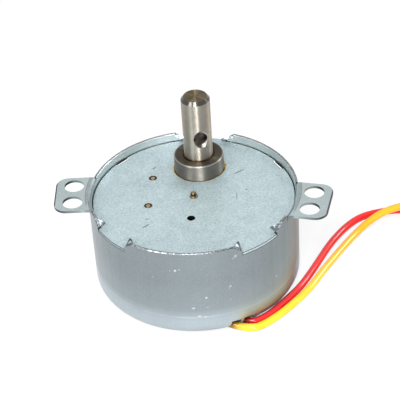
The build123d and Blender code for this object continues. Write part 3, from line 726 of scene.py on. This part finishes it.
def cup_folds(at, colour, below):
    """The corners folded over the cover beside each notch, with a painted glint near the base of each, and
    where they are.
    """
    off_notch = notch_turn(at.place, at.radius)
    fold_end = NOTCH_HALF_TURN + FOLD_TURN
    low, high = (FOLD_LOW - 0.25) * MM, (RIM_TOP - 0.25) * MM
    fold_low = mapped(off_notch, NOTCH_HALF_TURN, fold_end, low, high)
    beside = band(off_notch, NOTCH_HALF_TURN - 0.024, fold_end + 0.004, soft=0.002)
    sloped = ramp(maths("SUBTRACT", at.height, fold_low), -0.03, 0.03)
    within = ramp(at.radius, BODY_R - 0.05, BODY_R - 0.02, 1.0, 0.0)
    tongue = times(at.over, beside, sloped, within)
    heel = ramp(at.radius, INNER_R - 1.5, INNER_R - 0.2)
    facet = shaded(mapped(at.grainy, 0.5, 0.72), colour, 0.42, 1.05)
    # Painted glint: a bright spot near the base of each folded corner.
    painted_glint = times(
        band(off_notch, NOTCH_HALF_TURN + 0.012, NOTCH_HALF_TURN + 0.05, soft=0.008),
        strip(at.radius, INNER_R - 1.0, INNER_R - 0.3, soft=0.12),
    )
    bent = mixed(painted_glint, mixed(heel, wear(colour, 0.2), facet), wear(colour, 2.6))
    return mixed(tongue, below, bent), tongue


def cup_edges(at, colour, below):
    """The broken edge round the rim and the sheared edges of the ears, and where the first is."""
    high = strip(at.height, RIM_TOP - 0.14, RIM_TOP - 0.03, soft=0.02)
    outer = strip(at.radius, BODY_R - 0.14, BODY_R + 0.1, soft=0.02)
    chamfer = times(high, outer, flipped(at.ear))
    edged = mixed(chamfer, below, mixed(at.specks, wear(colour, 0.16), EDGE_SPECK))
    thick = strip(at.height, RIM_TOP - 0.66, RIM_TOP - 0.06, soft=0.03)
    darker = ramp(at.side, *EAR_SHADE, 0.25, 1.0)
    sheared = times(thick, darker, ramp(at.side, *EAR_EDGE))
    return mixed(sheared, edged, wear(colour, 0.24)), chamfer


def cup_finish(colour):
    """Drawn and zinc-plated steel, with painted reflections, glints and shade, and dull where it was
    sheared.
    """
    material, tree, shader = finish("Zinc, drawn", 1.0)
    at = cup_places(tree)
    rimmed = cup_rim(at, colour, cup_wall(at, colour))
    folded, tongue = cup_folds(at, colour, cup_bends(at, colour, rimmed))
    plated, chamfer = cup_edges(at, colour, folded)
    specks = placed(tree, "Dings", {"Spacing": 300.0, "Size": 0.085, "Share": 0.3})
    behind = times(specks.mask, ramp(at.y, *WALL_BACK), flipped(at.over))
    specked = mixed(behind, plated, wear(colour, 1.9))
    feed(shader, "Base Color", mixed(wall_dings(at.place), specked, DING_TONE))

    raw = larger(tongue, chamfer)
    satin = spread(at.lines, 0.36, 0.45)
    feed(shader, "Roughness", maths("SUBTRACT", satin, times(raw, 0.08)))
    feed(shader, "Coat Weight", between(raw, 0.15, 0.0))
    feed(shader, "Coat Roughness", 0.22)
    bumped(shader, maths("ADD", at.grainy, times(at.lines, 0.4)), microns=10)
    return material


def cover_edges(tree, colour, below):
    """The cover's sheared rim with painted shade along its top corner and underside, painted shade in its
    spare hole, and painted shade lines along its left lug.
    """
    middle = rings_round(tree, 0.0, 0.0)
    rim = ramp(middle.radius, INNER_R - 0.32, INNER_R - 0.28)
    # Painted shade along the rim's top corner and underside.
    corner = strip(middle.height, COVER_TOP - 0.15, COVER_TOP - 0.02, soft=0.02)
    under = ramp(middle.height, COVER_LOW + 0.1, COVER_LOW + 0.16, 1.0, 0.0)
    edged = mixed(times(rim, larger(corner, under)), below, COVER_EDGE_SHADE_TONE)
    # Painted shade in the spare hole.
    hole = rings_round(tree, *SPARE_HOLE)
    drilled = maths("LESS_THAN", hole.radius, (SPARE_HOLE_R + 0.02) * MM)
    holed = mixed(drilled, edged, SPARE_HOLE_SHADE_TONE)
    # Painted shade lines along the left lug's edge.
    left = maths("LESS_THAN", xyz(object_place(tree))[0], 0.0)
    lug = ramp(middle.radius, BODY_R - 0.3, BODY_R - 0.2)
    upper = strip(middle.height, COVER_TOP - 0.30, COVER_TOP - 0.04, soft=0.03)
    lower = ramp(middle.height, COVER_LOW + 0.14, COVER_LOW + 0.3, 1.0, 0.3)
    below_top = ramp(middle.height, COVER_TOP - 0.06, COVER_TOP - 0.02, 1.0, 0.0)
    lines = times(larger(upper, lower), below_top, left, lug)
    return mixed(lines, holed, wear(colour, 0.24))


def cover_slot_glints(tree, colour, below):
    """A painted glint along the inner edge of the two slots in the cover's edge, and a painted shade line
    below it.
    """
    x, y, _ = xyz(object_place(tree))
    side = maths("ABSOLUTE", x)
    cosine, sine = math.cos(SLOT_ANGLE), math.sin(SLOT_ANGLE)
    out = maths("ADD", times(side, cosine), times(y, sine))
    along = maths("SUBTRACT", times(y, cosine), times(side, sine))
    near = maths("LESS_THAN", maths("ABSOLUTE", along), SLOT_HALF * MM)
    # Painted glint beside each slot, and a painted shade line below it.
    slot_glint = times(near, strip(out, SLOT_INNER - 0.42, SLOT_INNER - 0.02, soft=0.03))
    foot = times(near, strip(out, SLOT_INNER - 0.58, SLOT_INNER - 0.44, soft=0.03))
    return mixed(foot, mixed(slot_glint, below, SLOT_GLINT_TONE), wear(colour, 0.22))


def cover_oil(tree, clouds, oil, below):
    """Old oil round the bush, with its yellow fringe, and a drop beside it; and where it is wet."""
    reach = maths("ADD", times(clouds.cloudy, OIL_SPREAD * MM), (BUSH_R + OIL_REACH) * MM)
    edge = maths("SUBTRACT", reach, rings_round(tree, 0.0, SHAFT_Y).radius)
    oily = maths("MULTIPLY", edge, OIL_EDGE, clamp=True)
    fringe = maths("MULTIPLY", maths("ADD", edge, OIL_FRINGE * MM), OIL_EDGE, clamp=True)
    oiled = mixed(oily, mixed(fringe, below, OIL_FRINGE_TONE), wear(oil, 0.35))
    drop = ramp(rings_round(tree, *OIL_DROP).radius, *OIL_DROP_EDGE, 1.0, 0.0)
    return mixed(drop, oiled, OIL_DROP_TONE), larger(oily, drop)


def cover_finish(colour, oil):
    """Zinc-plated cover: fine frosty grain, a few dark scratches, sheared edges, painted shade and glints,
    and old oil.
    """
    material, tree, shader = finish("Zinc, frosted", 0.55)
    clouds = mottle(tree, cloud=330, grain=2500, share=0.76)
    marked = shaded(clouds.both, colour, 0.74, 1.21)
    for x, y, turn, half_length, half_width in SCRATCHES:
        scratch = placed(tree, "Scratch", {
            "X": x * MM, "Y": y * MM, "Turn": math.radians(turn),
            "Half length": half_length * MM, "Half width": half_width * MM,
        })
        marked = mixed(scratch.mask, marked, wear(colour, 0.25))
    edged = cover_edges(tree, colour, marked)
    # Painted shade in the gap round each pin.
    pin_shaded = mixed(strip(nearest_pin(tree), *PIN_GAP, soft=0.04), edged, PIN_GAP_SHADE_TONE)
    oiled, wet = cover_oil(tree, clouds, oil, cover_slot_glints(tree, colour, pin_shaded))
    feed(shader, "Base Color", oiled)
    feed(shader, "Roughness", between(wet, 0.48, 0.2))
    bumped(shader, clouds.grainy, microns=16)
    return material


def shaft_finish(colour, oil):
    """Ground and lightly oiled steel, its taper and turned end darkened as a painted reflection, glossy on
    the taper, with painted shade and painted light in its drilled hole.
    """
    material, tree, shader = finish("Steel, ground", 1.0)
    rings = rings_round(tree, 0.0, SHAFT_Y, fineness=14000)
    clouds = mottle(tree, cloud=420, grain=5000, share=0.3)
    taper_low = SHAFT_TOP - SHAFT_TAPER
    taper = ramp(rings.height, taper_low - 0.02, taper_low + 0.02)
    # Painted reflection: the taper is darkened as if it mirrored a dark room.
    turned = mixed(taper, shaded(clouds.both, colour, 0.86, 1.10), wear(colour, 0.13))
    # Painted reflection: the end face is darkened as well.
    end = maths("GREATER_THAN", rings.height, (SHAFT_TOP - 0.01) * MM)
    end_darkened = mixed(end, turned, mixed(clouds.both, *SHAFT_END_REFLECTION_TONES))

    # Painted shade in the cross hole, and painted light on one side of it.
    mouth = ramp(rings.radius, *HOLE_MOUTH, 1.0, 0.0)
    hole = times(mouth, maths("LESS_THAN", rings.height, (taper_low - 0.1) * MM))
    across = (-math.sin(CROSS_TURN), math.cos(CROSS_TURN), 0.0)
    beside = vectors("DOT_PRODUCT", object_place(tree), across)
    middle = SHAFT_Y * across[1]
    one_side = ramp(beside, middle - 0.1, middle + 0.5)
    painted_lighter = times(ramp(rings.radius, *HOLE_PAINTED_LIGHT), one_side)
    drilled = mixed(hole, end_darkened, mixed(painted_lighter, *CROSS_HOLE_SHADE_AND_LIGHT_TONES))
    foot = ramp(rings.height, BUSH_TOP - 0.1, BUSH_TOP + 0.5, 0.85, 0.0)
    feed(shader, "Base Color", mixed(foot, drilled, oil))

    dull = times(larger(hole, end), 0.06)
    feed(shader, "Roughness", maths("ADD", spread(rings.ring, 0.34, 0.42), dull))
    feed(shader, "Coat Weight", times(taper, flipped(end)))
    feed(shader, "Coat Roughness", 0.16)
    bumped(shader, rings.ring, microns=2.4)
    streaked(shader, 0.97)
    return material


def bush_finish(colour, oil):
    """Turned steel with visible tool rings, its end darkened as a painted reflection, a painted highlight
    on its lip, and old oil in its recess, darkened further as painted shade.
    """
    material, tree, shader = finish("Steel, turned", 1.0)
    rings = rings_round(tree, 0.0, SHAFT_Y, fineness=5200)
    clouds = mottle(tree, cloud=380, grain=4000, share=0.4)
    toned = shaded(clouds.both, colour, 0.80, 1.20)
    # Painted reflection: the end is darkened.
    end = ramp(rings.height, BUSH_TOP - 0.27, BUSH_TOP - 0.23)
    end_darkened = mixed(end, toned, mixed(clouds.both, *BUSH_END_REFLECTION_TONES))
    # Painted highlight on the lip round the end.
    brink = times(end, ramp(rings.radius, *BUSH_BRINK, 0.0, 0.2))
    lip = strip(rings.height, BUSH_TOP - 0.24, BUSH_TOP - 0.03, soft=0.02)
    painted_lip_highlight = larger(brink, times(lip, ramp(rings.radius, *BUSH_LIP)))
    lip_highlighted = mixed(painted_lip_highlight, end_darkened, wear(colour, 2.2))
    # Old oil in the recess, darkened further as painted shade.
    recess = ramp(rings.radius, *BUSH_RECESS, 0.9, 0.0)
    feed(shader, "Base Color", mixed(recess, lip_highlighted, wear(oil, 0.3)))
    feed(shader, "Roughness", spread(rings.ring, 0.46, 0.58))
    bumped(shader, rings.ring, microns=6)
    streaked(shader, 0.96)
    return material


def brass_finish(colour):
    """Turned brass with dull spots, and painted shade round the ends of the pins."""
    material, tree, shader = finish("Brass", 1.0)
    clouds = mottle(tree, cloud=1500, grain=6000, share=0.4)
    toned = shaded(clouds.both, colour, 0.66, 1.18)
    height = xyz(object_place(tree))[2]
    ends = maths("GREATER_THAN", height, (COVER_TOP - 0.25) * MM)
    collar = strip(height, COVER_TOP + 0.05, COVER_TOP + 0.42, soft=0.02)
    # Painted shade round the ends of the pins.
    rim = times(ends, ramp(nearest_pin(tree), *PIN_RIM), flipped(collar))
    feed(shader, "Base Color", mixed(rim, toned, wear(colour, 0.12)))
    feed(shader, "Roughness", between(clouds.cloudy, 0.22, 0.36))
    bumped(shader, clouds.grainy, microns=4)
    return material


def plain_finish(name, colour, metallic, roughness, cloud, grain, relief):
    """A finish with its colour in cloudy patches over a fine grain."""
    material, tree, shader = finish(name, metallic)
    clouds = mottle(tree, cloud, grain, 0.5)
    feed(shader, "Base Color", shaded(clouds.both, colour, 0.84, 1.12))
    feed(shader, "Roughness", between(clouds.grainy, roughness - 0.06, roughness + 0.08))
    bumped(shader, clouds.grainy, relief)
    return material


def lead_finish(name, colour, shade, far):
    """Glossy extruded insulation with faint clouding, a painted shadow where it leaves the cup, and
    painted shade deepening its colour farther out.
    """
    material, tree, shader = finish(name, 0.0)
    clouds = mottle(tree, cloud=190, grain=1800, share=0.25)
    out = xyz(object_place(tree))[0]
    # Painted shade: the colour deepens farther out along the lead.
    far_shaded = mixed(ramp(out, *LEAD_FAR_SHADE), mixed(clouds.both, shade, colour), far)
    # Painted shadow where the lead leaves the cup.
    root_shadow = ramp(rings_round(tree, 0.0, 0.0).radius, *LEAD_ROOT_SHADOW, 1.0, 0.0)
    feed(shader, "Base Color", mixed(root_shadow, far_shaded, wear(shade, 0.2)))
    feed(shader, "Roughness", between(clouds.grainy, 0.10, 0.17))
    feed(shader, "Specular IOR Level", 0.45)
    bumped(shader, clouds.cloudy, microns=10)
    return material


def linked(name, data):
    """A new object in the scene."""
    obj = bpy.data.objects.new(name, data)
    bpy.context.collection.objects.link(obj)
    return obj


class MOTOR_OT_cup(bpy.types.Operator):
    """Give the drawn cup and the grommet in its floor their finish"""

    bl_idname = "motor.cup"
    bl_label = "Cup"

    def execute(self, context):
        dress(cup_finish(tuple(context.scene.motor_finish.cup)), "housing_cup")
        dress(plain_finish(*RUBBER), "lead_grommet")
        return {"FINISHED"}


class MOTOR_OT_cover(bpy.types.Operator):
    """Give the cover plate its frosted plating and its oil line"""

    bl_idname = "motor.cover"
    bl_label = "Cover"

    def execute(self, context):
        colours = context.scene.motor_finish
        dress(cover_finish(tuple(colours.cover), tuple(colours.oil)), "cover_plate")
        return {"FINISHED"}


class MOTOR_OT_shaft(bpy.types.Operator):
    """Give the output shaft and its bush their finish"""

    bl_idname = "motor.shaft"
    bl_label = "Shaft and Bush"

    def execute(self, context):
        colours = context.scene.motor_finish
        dress(shaft_finish(tuple(colours.shaft), tuple(colours.oil)), "output_shaft")
        dress(bush_finish(tuple(colours.bush), tuple(colours.oil)), "output_bush")
        return {"FINISHED"}


class MOTOR_OT_works(bpy.types.Operator):
    """Give the pins, gears and motor parts inside their finishes"""

    bl_idname = "motor.works"
    bl_label = "Pins and Works"

    def execute(self, context):
        brass = brass_finish(tuple(context.scene.motor_finish.brass))
        dress(brass, "gear_arbors", "rotor_pin", "output_wheel")
        for values, names in WORKS:
            dress(plain_finish(*values), *names)
        return {"FINISHED"}


def coil_points(route, hand):
    """Control points of the put-away coil: in to the middle, one level up and out again."""
    entry = Vector(route[-1])
    way = entry - Vector(route[-2])
    way.z = 0.0
    way.normalize()
    left = Vector((-way.y, way.x, 0.0)) * hand
    begin = entry + way * COIL_LEAD_IN
    half = COIL_TURNS * math.pi
    count = round(COIL_TURNS * POINTS_PER_TURN)
    points = []
    for step in range(count + 1):
        turn = 2 * half * step / count
        radius = COIL_INNER_R + COIL_STEP * abs(turn - half) / (2 * math.pi)
        share = min(1.0, max(0.0, (turn - half) / math.pi + 0.5))
        lift = COIL_STEP * share**2 * (3 - 2 * share)
        spoke = way * math.sin(turn) - left * math.cos(turn)
        points.append(begin + left * COIL_OUTER_R + spoke * radius + Vector((0.0, 0.0, lift)))
    out_way = (way * math.cos(2 * half) + left * math.sin(2 * half)).normalized()
    points.append(points[-1] + out_way * COIL_LEAD_IN)
    return points


def lead_curve(name, route, hand, radius, material):
    """A lead as one smooth spline through its route and its coil."""
    points = [Vector(place) for place in route] + coil_points(route, hand)
    data = bpy.data.curves.new(name, "CURVE")
    data.dimensions = "3D"
    data.bevel_depth = radius
    data.bevel_resolution = 6
    data.resolution_u = 8
    data.use_fill_caps = True
    spline = data.splines.new("NURBS")
    spline.points.add(len(points) - 1)
    for control, place in zip(spline.points, points):
        control.co = (*(place * MM), 1.0)
    spline.order_u = 3
    spline.use_endpoint_u = True
    data.materials.append(material)
    return linked(name, data)


def mesh_piece(name, shape, place, material, node_name):
    """Add an object from a shape made in millimetres in its own frame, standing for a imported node."""
    bmesh.ops.recalc_face_normals(shape, faces=shape.faces[:])
    bmesh.ops.transform(shape, matrix=Matrix.Scale(MM, 4) @ place, verts=shape.verts[:])
    mesh = bpy.data.meshes.new(name)
    shape.to_mesh(mesh)
    shape.free()
    mesh.shade_smooth()
    mesh.set_sharp_from_angle(angle=SHARP_ANGLE)
    mesh.materials.append(material)
    obj = linked(name, mesh)
    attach(obj, "motor_body")
    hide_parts(node_name)


def upright_frame(origin, along):
    """A frame with x up and z along a level direction."""
    up = Vector((0.0, 0.0, 1.0))
    return Matrix.Translation(origin) @ Matrix((up, along.cross(up), along)).transposed().to_4x4()


def round_edges(shape, edges, offset, segments):
    """Round some edges of a shape."""
    bmesh.ops.bevel(
        shape, geom=edges, offset=offset, offset_type="OFFSET", affect="EDGES",
        segments=segments, profile=0.5, material=-1,
    )


def rounded_block(shape, size, place, round_off):
    """Add a block with rounded edges to a shape."""
    block = bmesh.ops.create_cube(shape, size=1.0)
    bmesh.ops.scale(shape, vec=size, verts=block["verts"])
    bmesh.ops.translate(shape, vec=place, verts=block["verts"])
    edges = list({edge for vert in block["verts"] for edge in vert.link_edges})
    round_edges(shape, edges, round_off, segments=3)


def tie_shape(inward):
    """A closed nylon tie round two strands, with its head and trimmed tail on the coil's inner side."""
    inner_w = 2 * (LEAD_R + TIE_GAP)
    shape = bmesh.new()
    tube = bmesh.ops.create_cube(shape, size=1.0)
    bmesh.ops.scale(shape, vec=(inner_w + COIL_STEP, inner_w, TIE_W), verts=tube["verts"])
    shape.normal_update()
    ends = [face for face in shape.faces if abs(face.normal.z) > 0.5]
    bmesh.ops.delete(shape, geom=ends, context="FACES_ONLY")
    corners = [edge for edge in shape.edges if abs(edge.verts[0].co.z - edge.verts[1].co.z) > TIE_W / 2]
    round_edges(shape, corners, TIE_CORNER, segments=6)
    shape.normal_update()
    inside_out = [face for face in shape.faces if face.normal.dot(face.calc_center_median()) < 0]
    bmesh.ops.reverse_faces(shape, faces=inside_out)
    bmesh.ops.solidify(shape, geom=shape.faces[:], thickness=TIE_T)
    rims = [edge for edge in shape.edges if edge.is_manifold and edge.calc_face_angle() > 1.0]
    round_edges(shape, rims, TIE_EDGE, segments=2)
    face_y = inward * (inner_w / 2 + TIE_T)
    head_y = face_y + inward * (TIE_HEAD[1] / 2 - TIE_HEAD_SINK)
    rounded_block(shape, TIE_HEAD, (0.0, head_y, 0.0), TIE_HEAD_ROUND)
    tail_y = face_y + inward * TIE_HEAD[1] * TIE_TAIL_SHARE
    rounded_block(shape, TIE_TAIL, (TIE_TAIL[0] / 2, tail_y, 0.0), TIE_TAIL_ROUND)
    return shape


def tip_shape():
    """Bared strands, six twisted round one."""
    shape = bmesh.new()
    for count in range(STRANDS):
        turn = Matrix.Rotation(2 * math.pi * count / STRANDS, 4, "Z")
        place = turn @ Matrix.Translation((2 * STRAND_R, 0.0, 0.0))
        circle = bmesh.ops.create_circle(shape, segments=STRAND_SIDES, radius=STRAND_R, matrix=place)
        outline = list({edge for vert in circle["verts"] for edge in vert.link_edges})
        bmesh.ops.spin(
            shape, geom=circle["verts"] + outline, cent=(0.0, 0.0, 0.0), axis=(0.0, 0.0, 1.0),
            dvec=(0.0, 0.0, TIP_L / TIP_STEPS), angle=2 * math.pi * TIP_TWIST, steps=TIP_STEPS,
            use_merge=False, use_duplicate=False,
        )
    open_edges = [edge for edge in shape.edges if edge.is_boundary]
    bmesh.ops.holes_fill(shape, edges=open_edges, sides=0)
    bmesh.ops.create_cone(
        shape, cap_ends=True, segments=STRAND_SIDES, radius1=STRAND_R, radius2=STRAND_R,
        depth=TIP_L + CORE_EXTRA, matrix=Matrix.Translation((0.0, 0.0, TIP_L / 2)),
    )
    return shape


class MOTOR_OT_ties(bpy.types.Operator):
    """Close a tie round each coil"""

    bl_idname = "motor.ties"
    bl_label = "Coil Ties"

    def execute(self, context):
        nylon = plain_finish(*TIE_NYLON)
        tied = round((COIL_TURNS - 1) / 2 * POINTS_PER_TURN)
        for name, route, hand, *_ in LEADS:
            points = coil_points(route, hand)
            low, high = points[tied], points[tied + POINTS_PER_TURN]
            along = points[tied + 1] - points[tied - 1]
            along.z = 0.0
            place = upright_frame((low + high) / 2, along.normalized())
            mesh_piece(f"{name}_tie", tie_shape(-hand), place, nylon, f"{name}_coil_tie")
        return {"FINISHED"}


class MOTOR_OT_tips(bpy.types.Operator):
    """Twist the bared strands at each lead's end"""

    bl_idname = "motor.tips"
    bl_label = "Bare Ends"

    def execute(self, context):
        tin = plain_finish(*TIN)
        for name, route, hand, *_ in LEADS:
            points = coil_points(route, hand)
            place = upright_frame(points[-1], (points[-1] - points[-2]).normalized())
            mesh_piece(f"{name}_strands", tip_shape(), place, tin, f"{name}_lead_tip")
        return {"FINISHED"}


class MOTOR_OT_leads(bpy.types.Operator):
    """Lay the two leads from the grommet to their coils"""

    bl_idname = "motor.leads"
    bl_label = "Leads"

    def execute(self, context):
        leads = context.scene.motor_leads
        for name, route, hand, shade, far, length in LEADS:
            material = lead_finish(f"Insulation, {name}", tuple(getattr(leads, name)), shade, far)
            curve = lead_curve(f"{name}_wire", route, hand, leads.radius, material)
            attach(curve, "motor_body")
            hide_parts(f"{name}_lead", f"{name}_lead_coil")
        return {"FINISHED"}


def area_light(name, place, aim, size, watts):
    """Add a square soft light aimed at a point."""
    data = bpy.data.lights.new(name, "AREA")
    data.shape = "SQUARE"
    data.size = size
    data.energy = watts
    turn = (Vector(place) - Vector(aim)).to_track_quat("Z", "Y")
    linked(name, data).matrix_world = Matrix.Translation(place) @ turn.to_matrix().to_4x4()


def stage_camera(stage):
    """The camera, turned and rolled about its target."""
    data = bpy.data.cameras.new("Camera")
    data.lens = stage.lens
    data.sensor_width = 36.0
    data.clip_start = 0.01
    back = Vector((
        math.sin(stage.azimuth) * math.cos(stage.elevation),
        -math.cos(stage.azimuth) * math.cos(stage.elevation),
        math.sin(stage.elevation),
    ))
    turn = back.to_track_quat("Z", "Y") @ Quaternion((0.0, 0.0, 1.0), stage.roll)
    place = Vector(stage.target) + back * stage.distance
    camera = linked("Camera", data)
    camera.matrix_world = Matrix.Translation(place) @ turn.to_matrix().to_4x4()
    return camera


def seen_directly(tree):
    """1 for what the camera sees straight, mirrored or through glass."""
    path = node(tree, "ShaderNodeLightPath")
    straight = larger(path.outputs["Is Camera Ray"], path.outputs["Is Glossy Ray"])
    return larger(straight, path.outputs["Is Transmission Ray"])


def floor_finish():
    """White paper that stays white under the object and keeps most of its own shadow off the picture."""
    material = bpy.data.materials.new("Paper, white")
    material.use_nodes = True
    tree = material.node_tree
    tree.nodes.clear()
    share = times(seen_directly(tree), PAPER_GLOW)
    paper = node(tree, "ShaderNodeBsdfDiffuse", {"Color": PAPER})
    white = node(tree, "ShaderNodeEmission", {"Color": WHITE, "Strength": 1.0})
    mix = node(tree, "ShaderNodeMixShader", {0: share, 1: paper.outputs[0], 2: white.outputs[0]})
    node(tree, "ShaderNodeOutputMaterial", {"Surface": mix.outputs[0]})
    return material


def stage_floor():
    """The sheet of paper that the motor stands on."""
    mesh = bpy.data.meshes.new("Floor")
    sheet = bmesh.new()
    bmesh.ops.create_grid(sheet, x_segments=1, y_segments=1, size=FLOOR_HALF)
    sheet.to_mesh(mesh)
    sheet.free()
    mesh.materials.append(floor_finish())
    return linked("Floor", mesh)


def stage_world(strength):
    """Even light from all round, white where it is seen."""
    world = bpy.data.worlds.new("Studio")
    world.use_nodes = True
    tree = world.node_tree
    background = tree.nodes["Background"]
    feed(background, "Color", WHITE)
    feed(background, "Strength", between(seen_directly(tree), strength, 1.0))
    return world


class MOTOR_OT_stage(bpy.types.Operator):
    """Set up the camera, the floor, the world and the lights"""

    bl_idname = "motor.stage"
    bl_label = "Stage"

    def execute(self, context):
        scene = context.scene
        scene.camera = stage_camera(scene.motor_stage)
        floor = stage_floor()
        scene.world = stage_world(scene.motor_stage.world)
        for light in LIGHTS:
            area_light(*light)
        scene.view_settings.view_transform = "Standard"
        return {"FINISHED"}


class MOTOR_PT_panel(bpy.types.Panel):
    """The steps that dress the motor"""

    bl_idname = "MOTOR_PT_panel"
    bl_label = "Synchronous Motor"
    bl_space_type = "VIEW_3D"
    bl_region_type = "UI"
    bl_category = "Motor"

    def draw(self, context):
        for operator in OPERATORS:
            self.layout.operator(operator.bl_idname)
        for group in (getattr(context.scene, name) for name in GROUPS):
            box = self.layout.box()
            for name in group.__annotations__:
                box.prop(group, name)


GROUPS = {"motor_finish": MotorFinish, "motor_leads": MotorLeads, "motor_stage": MotorStage}
OPERATORS = (
    MOTOR_OT_ties, MOTOR_OT_tips, MOTOR_OT_leads, MOTOR_OT_cup,
    MOTOR_OT_cover, MOTOR_OT_shaft, MOTOR_OT_works, MOTOR_OT_stage,
)


def register():
    """Register the classes and hang their values on the scene."""
    for name, group in GROUPS.items():
        bpy.utils.register_class(group)
        setattr(bpy.types.Scene, name, bpy.props.PointerProperty(type=group))
    for operator in OPERATORS:
        bpy.utils.register_class(operator)
    bpy.utils.register_class(MOTOR_PT_panel)


def unregister():
    """Take the classes and their values away again."""
    bpy.utils.unregister_class(MOTOR_PT_panel)
    for operator in reversed(OPERATORS):
        bpy.utils.unregister_class(operator)
    for name, group in GROUPS.items():
        delattr(bpy.types.Scene, name)
        bpy.utils.unregister_class(group)


def main():
    """Run every step in order."""
    register()
    bpy.ops.motor.ties()
    bpy.ops.motor.tips()
    bpy.ops.motor.leads()
    bpy.ops.motor.cup()
    bpy.ops.motor.cover()
    bpy.ops.motor.shaft()
    bpy.ops.motor.works()
    bpy.ops.motor.stage()


if __name__ == "__main__":
    main()
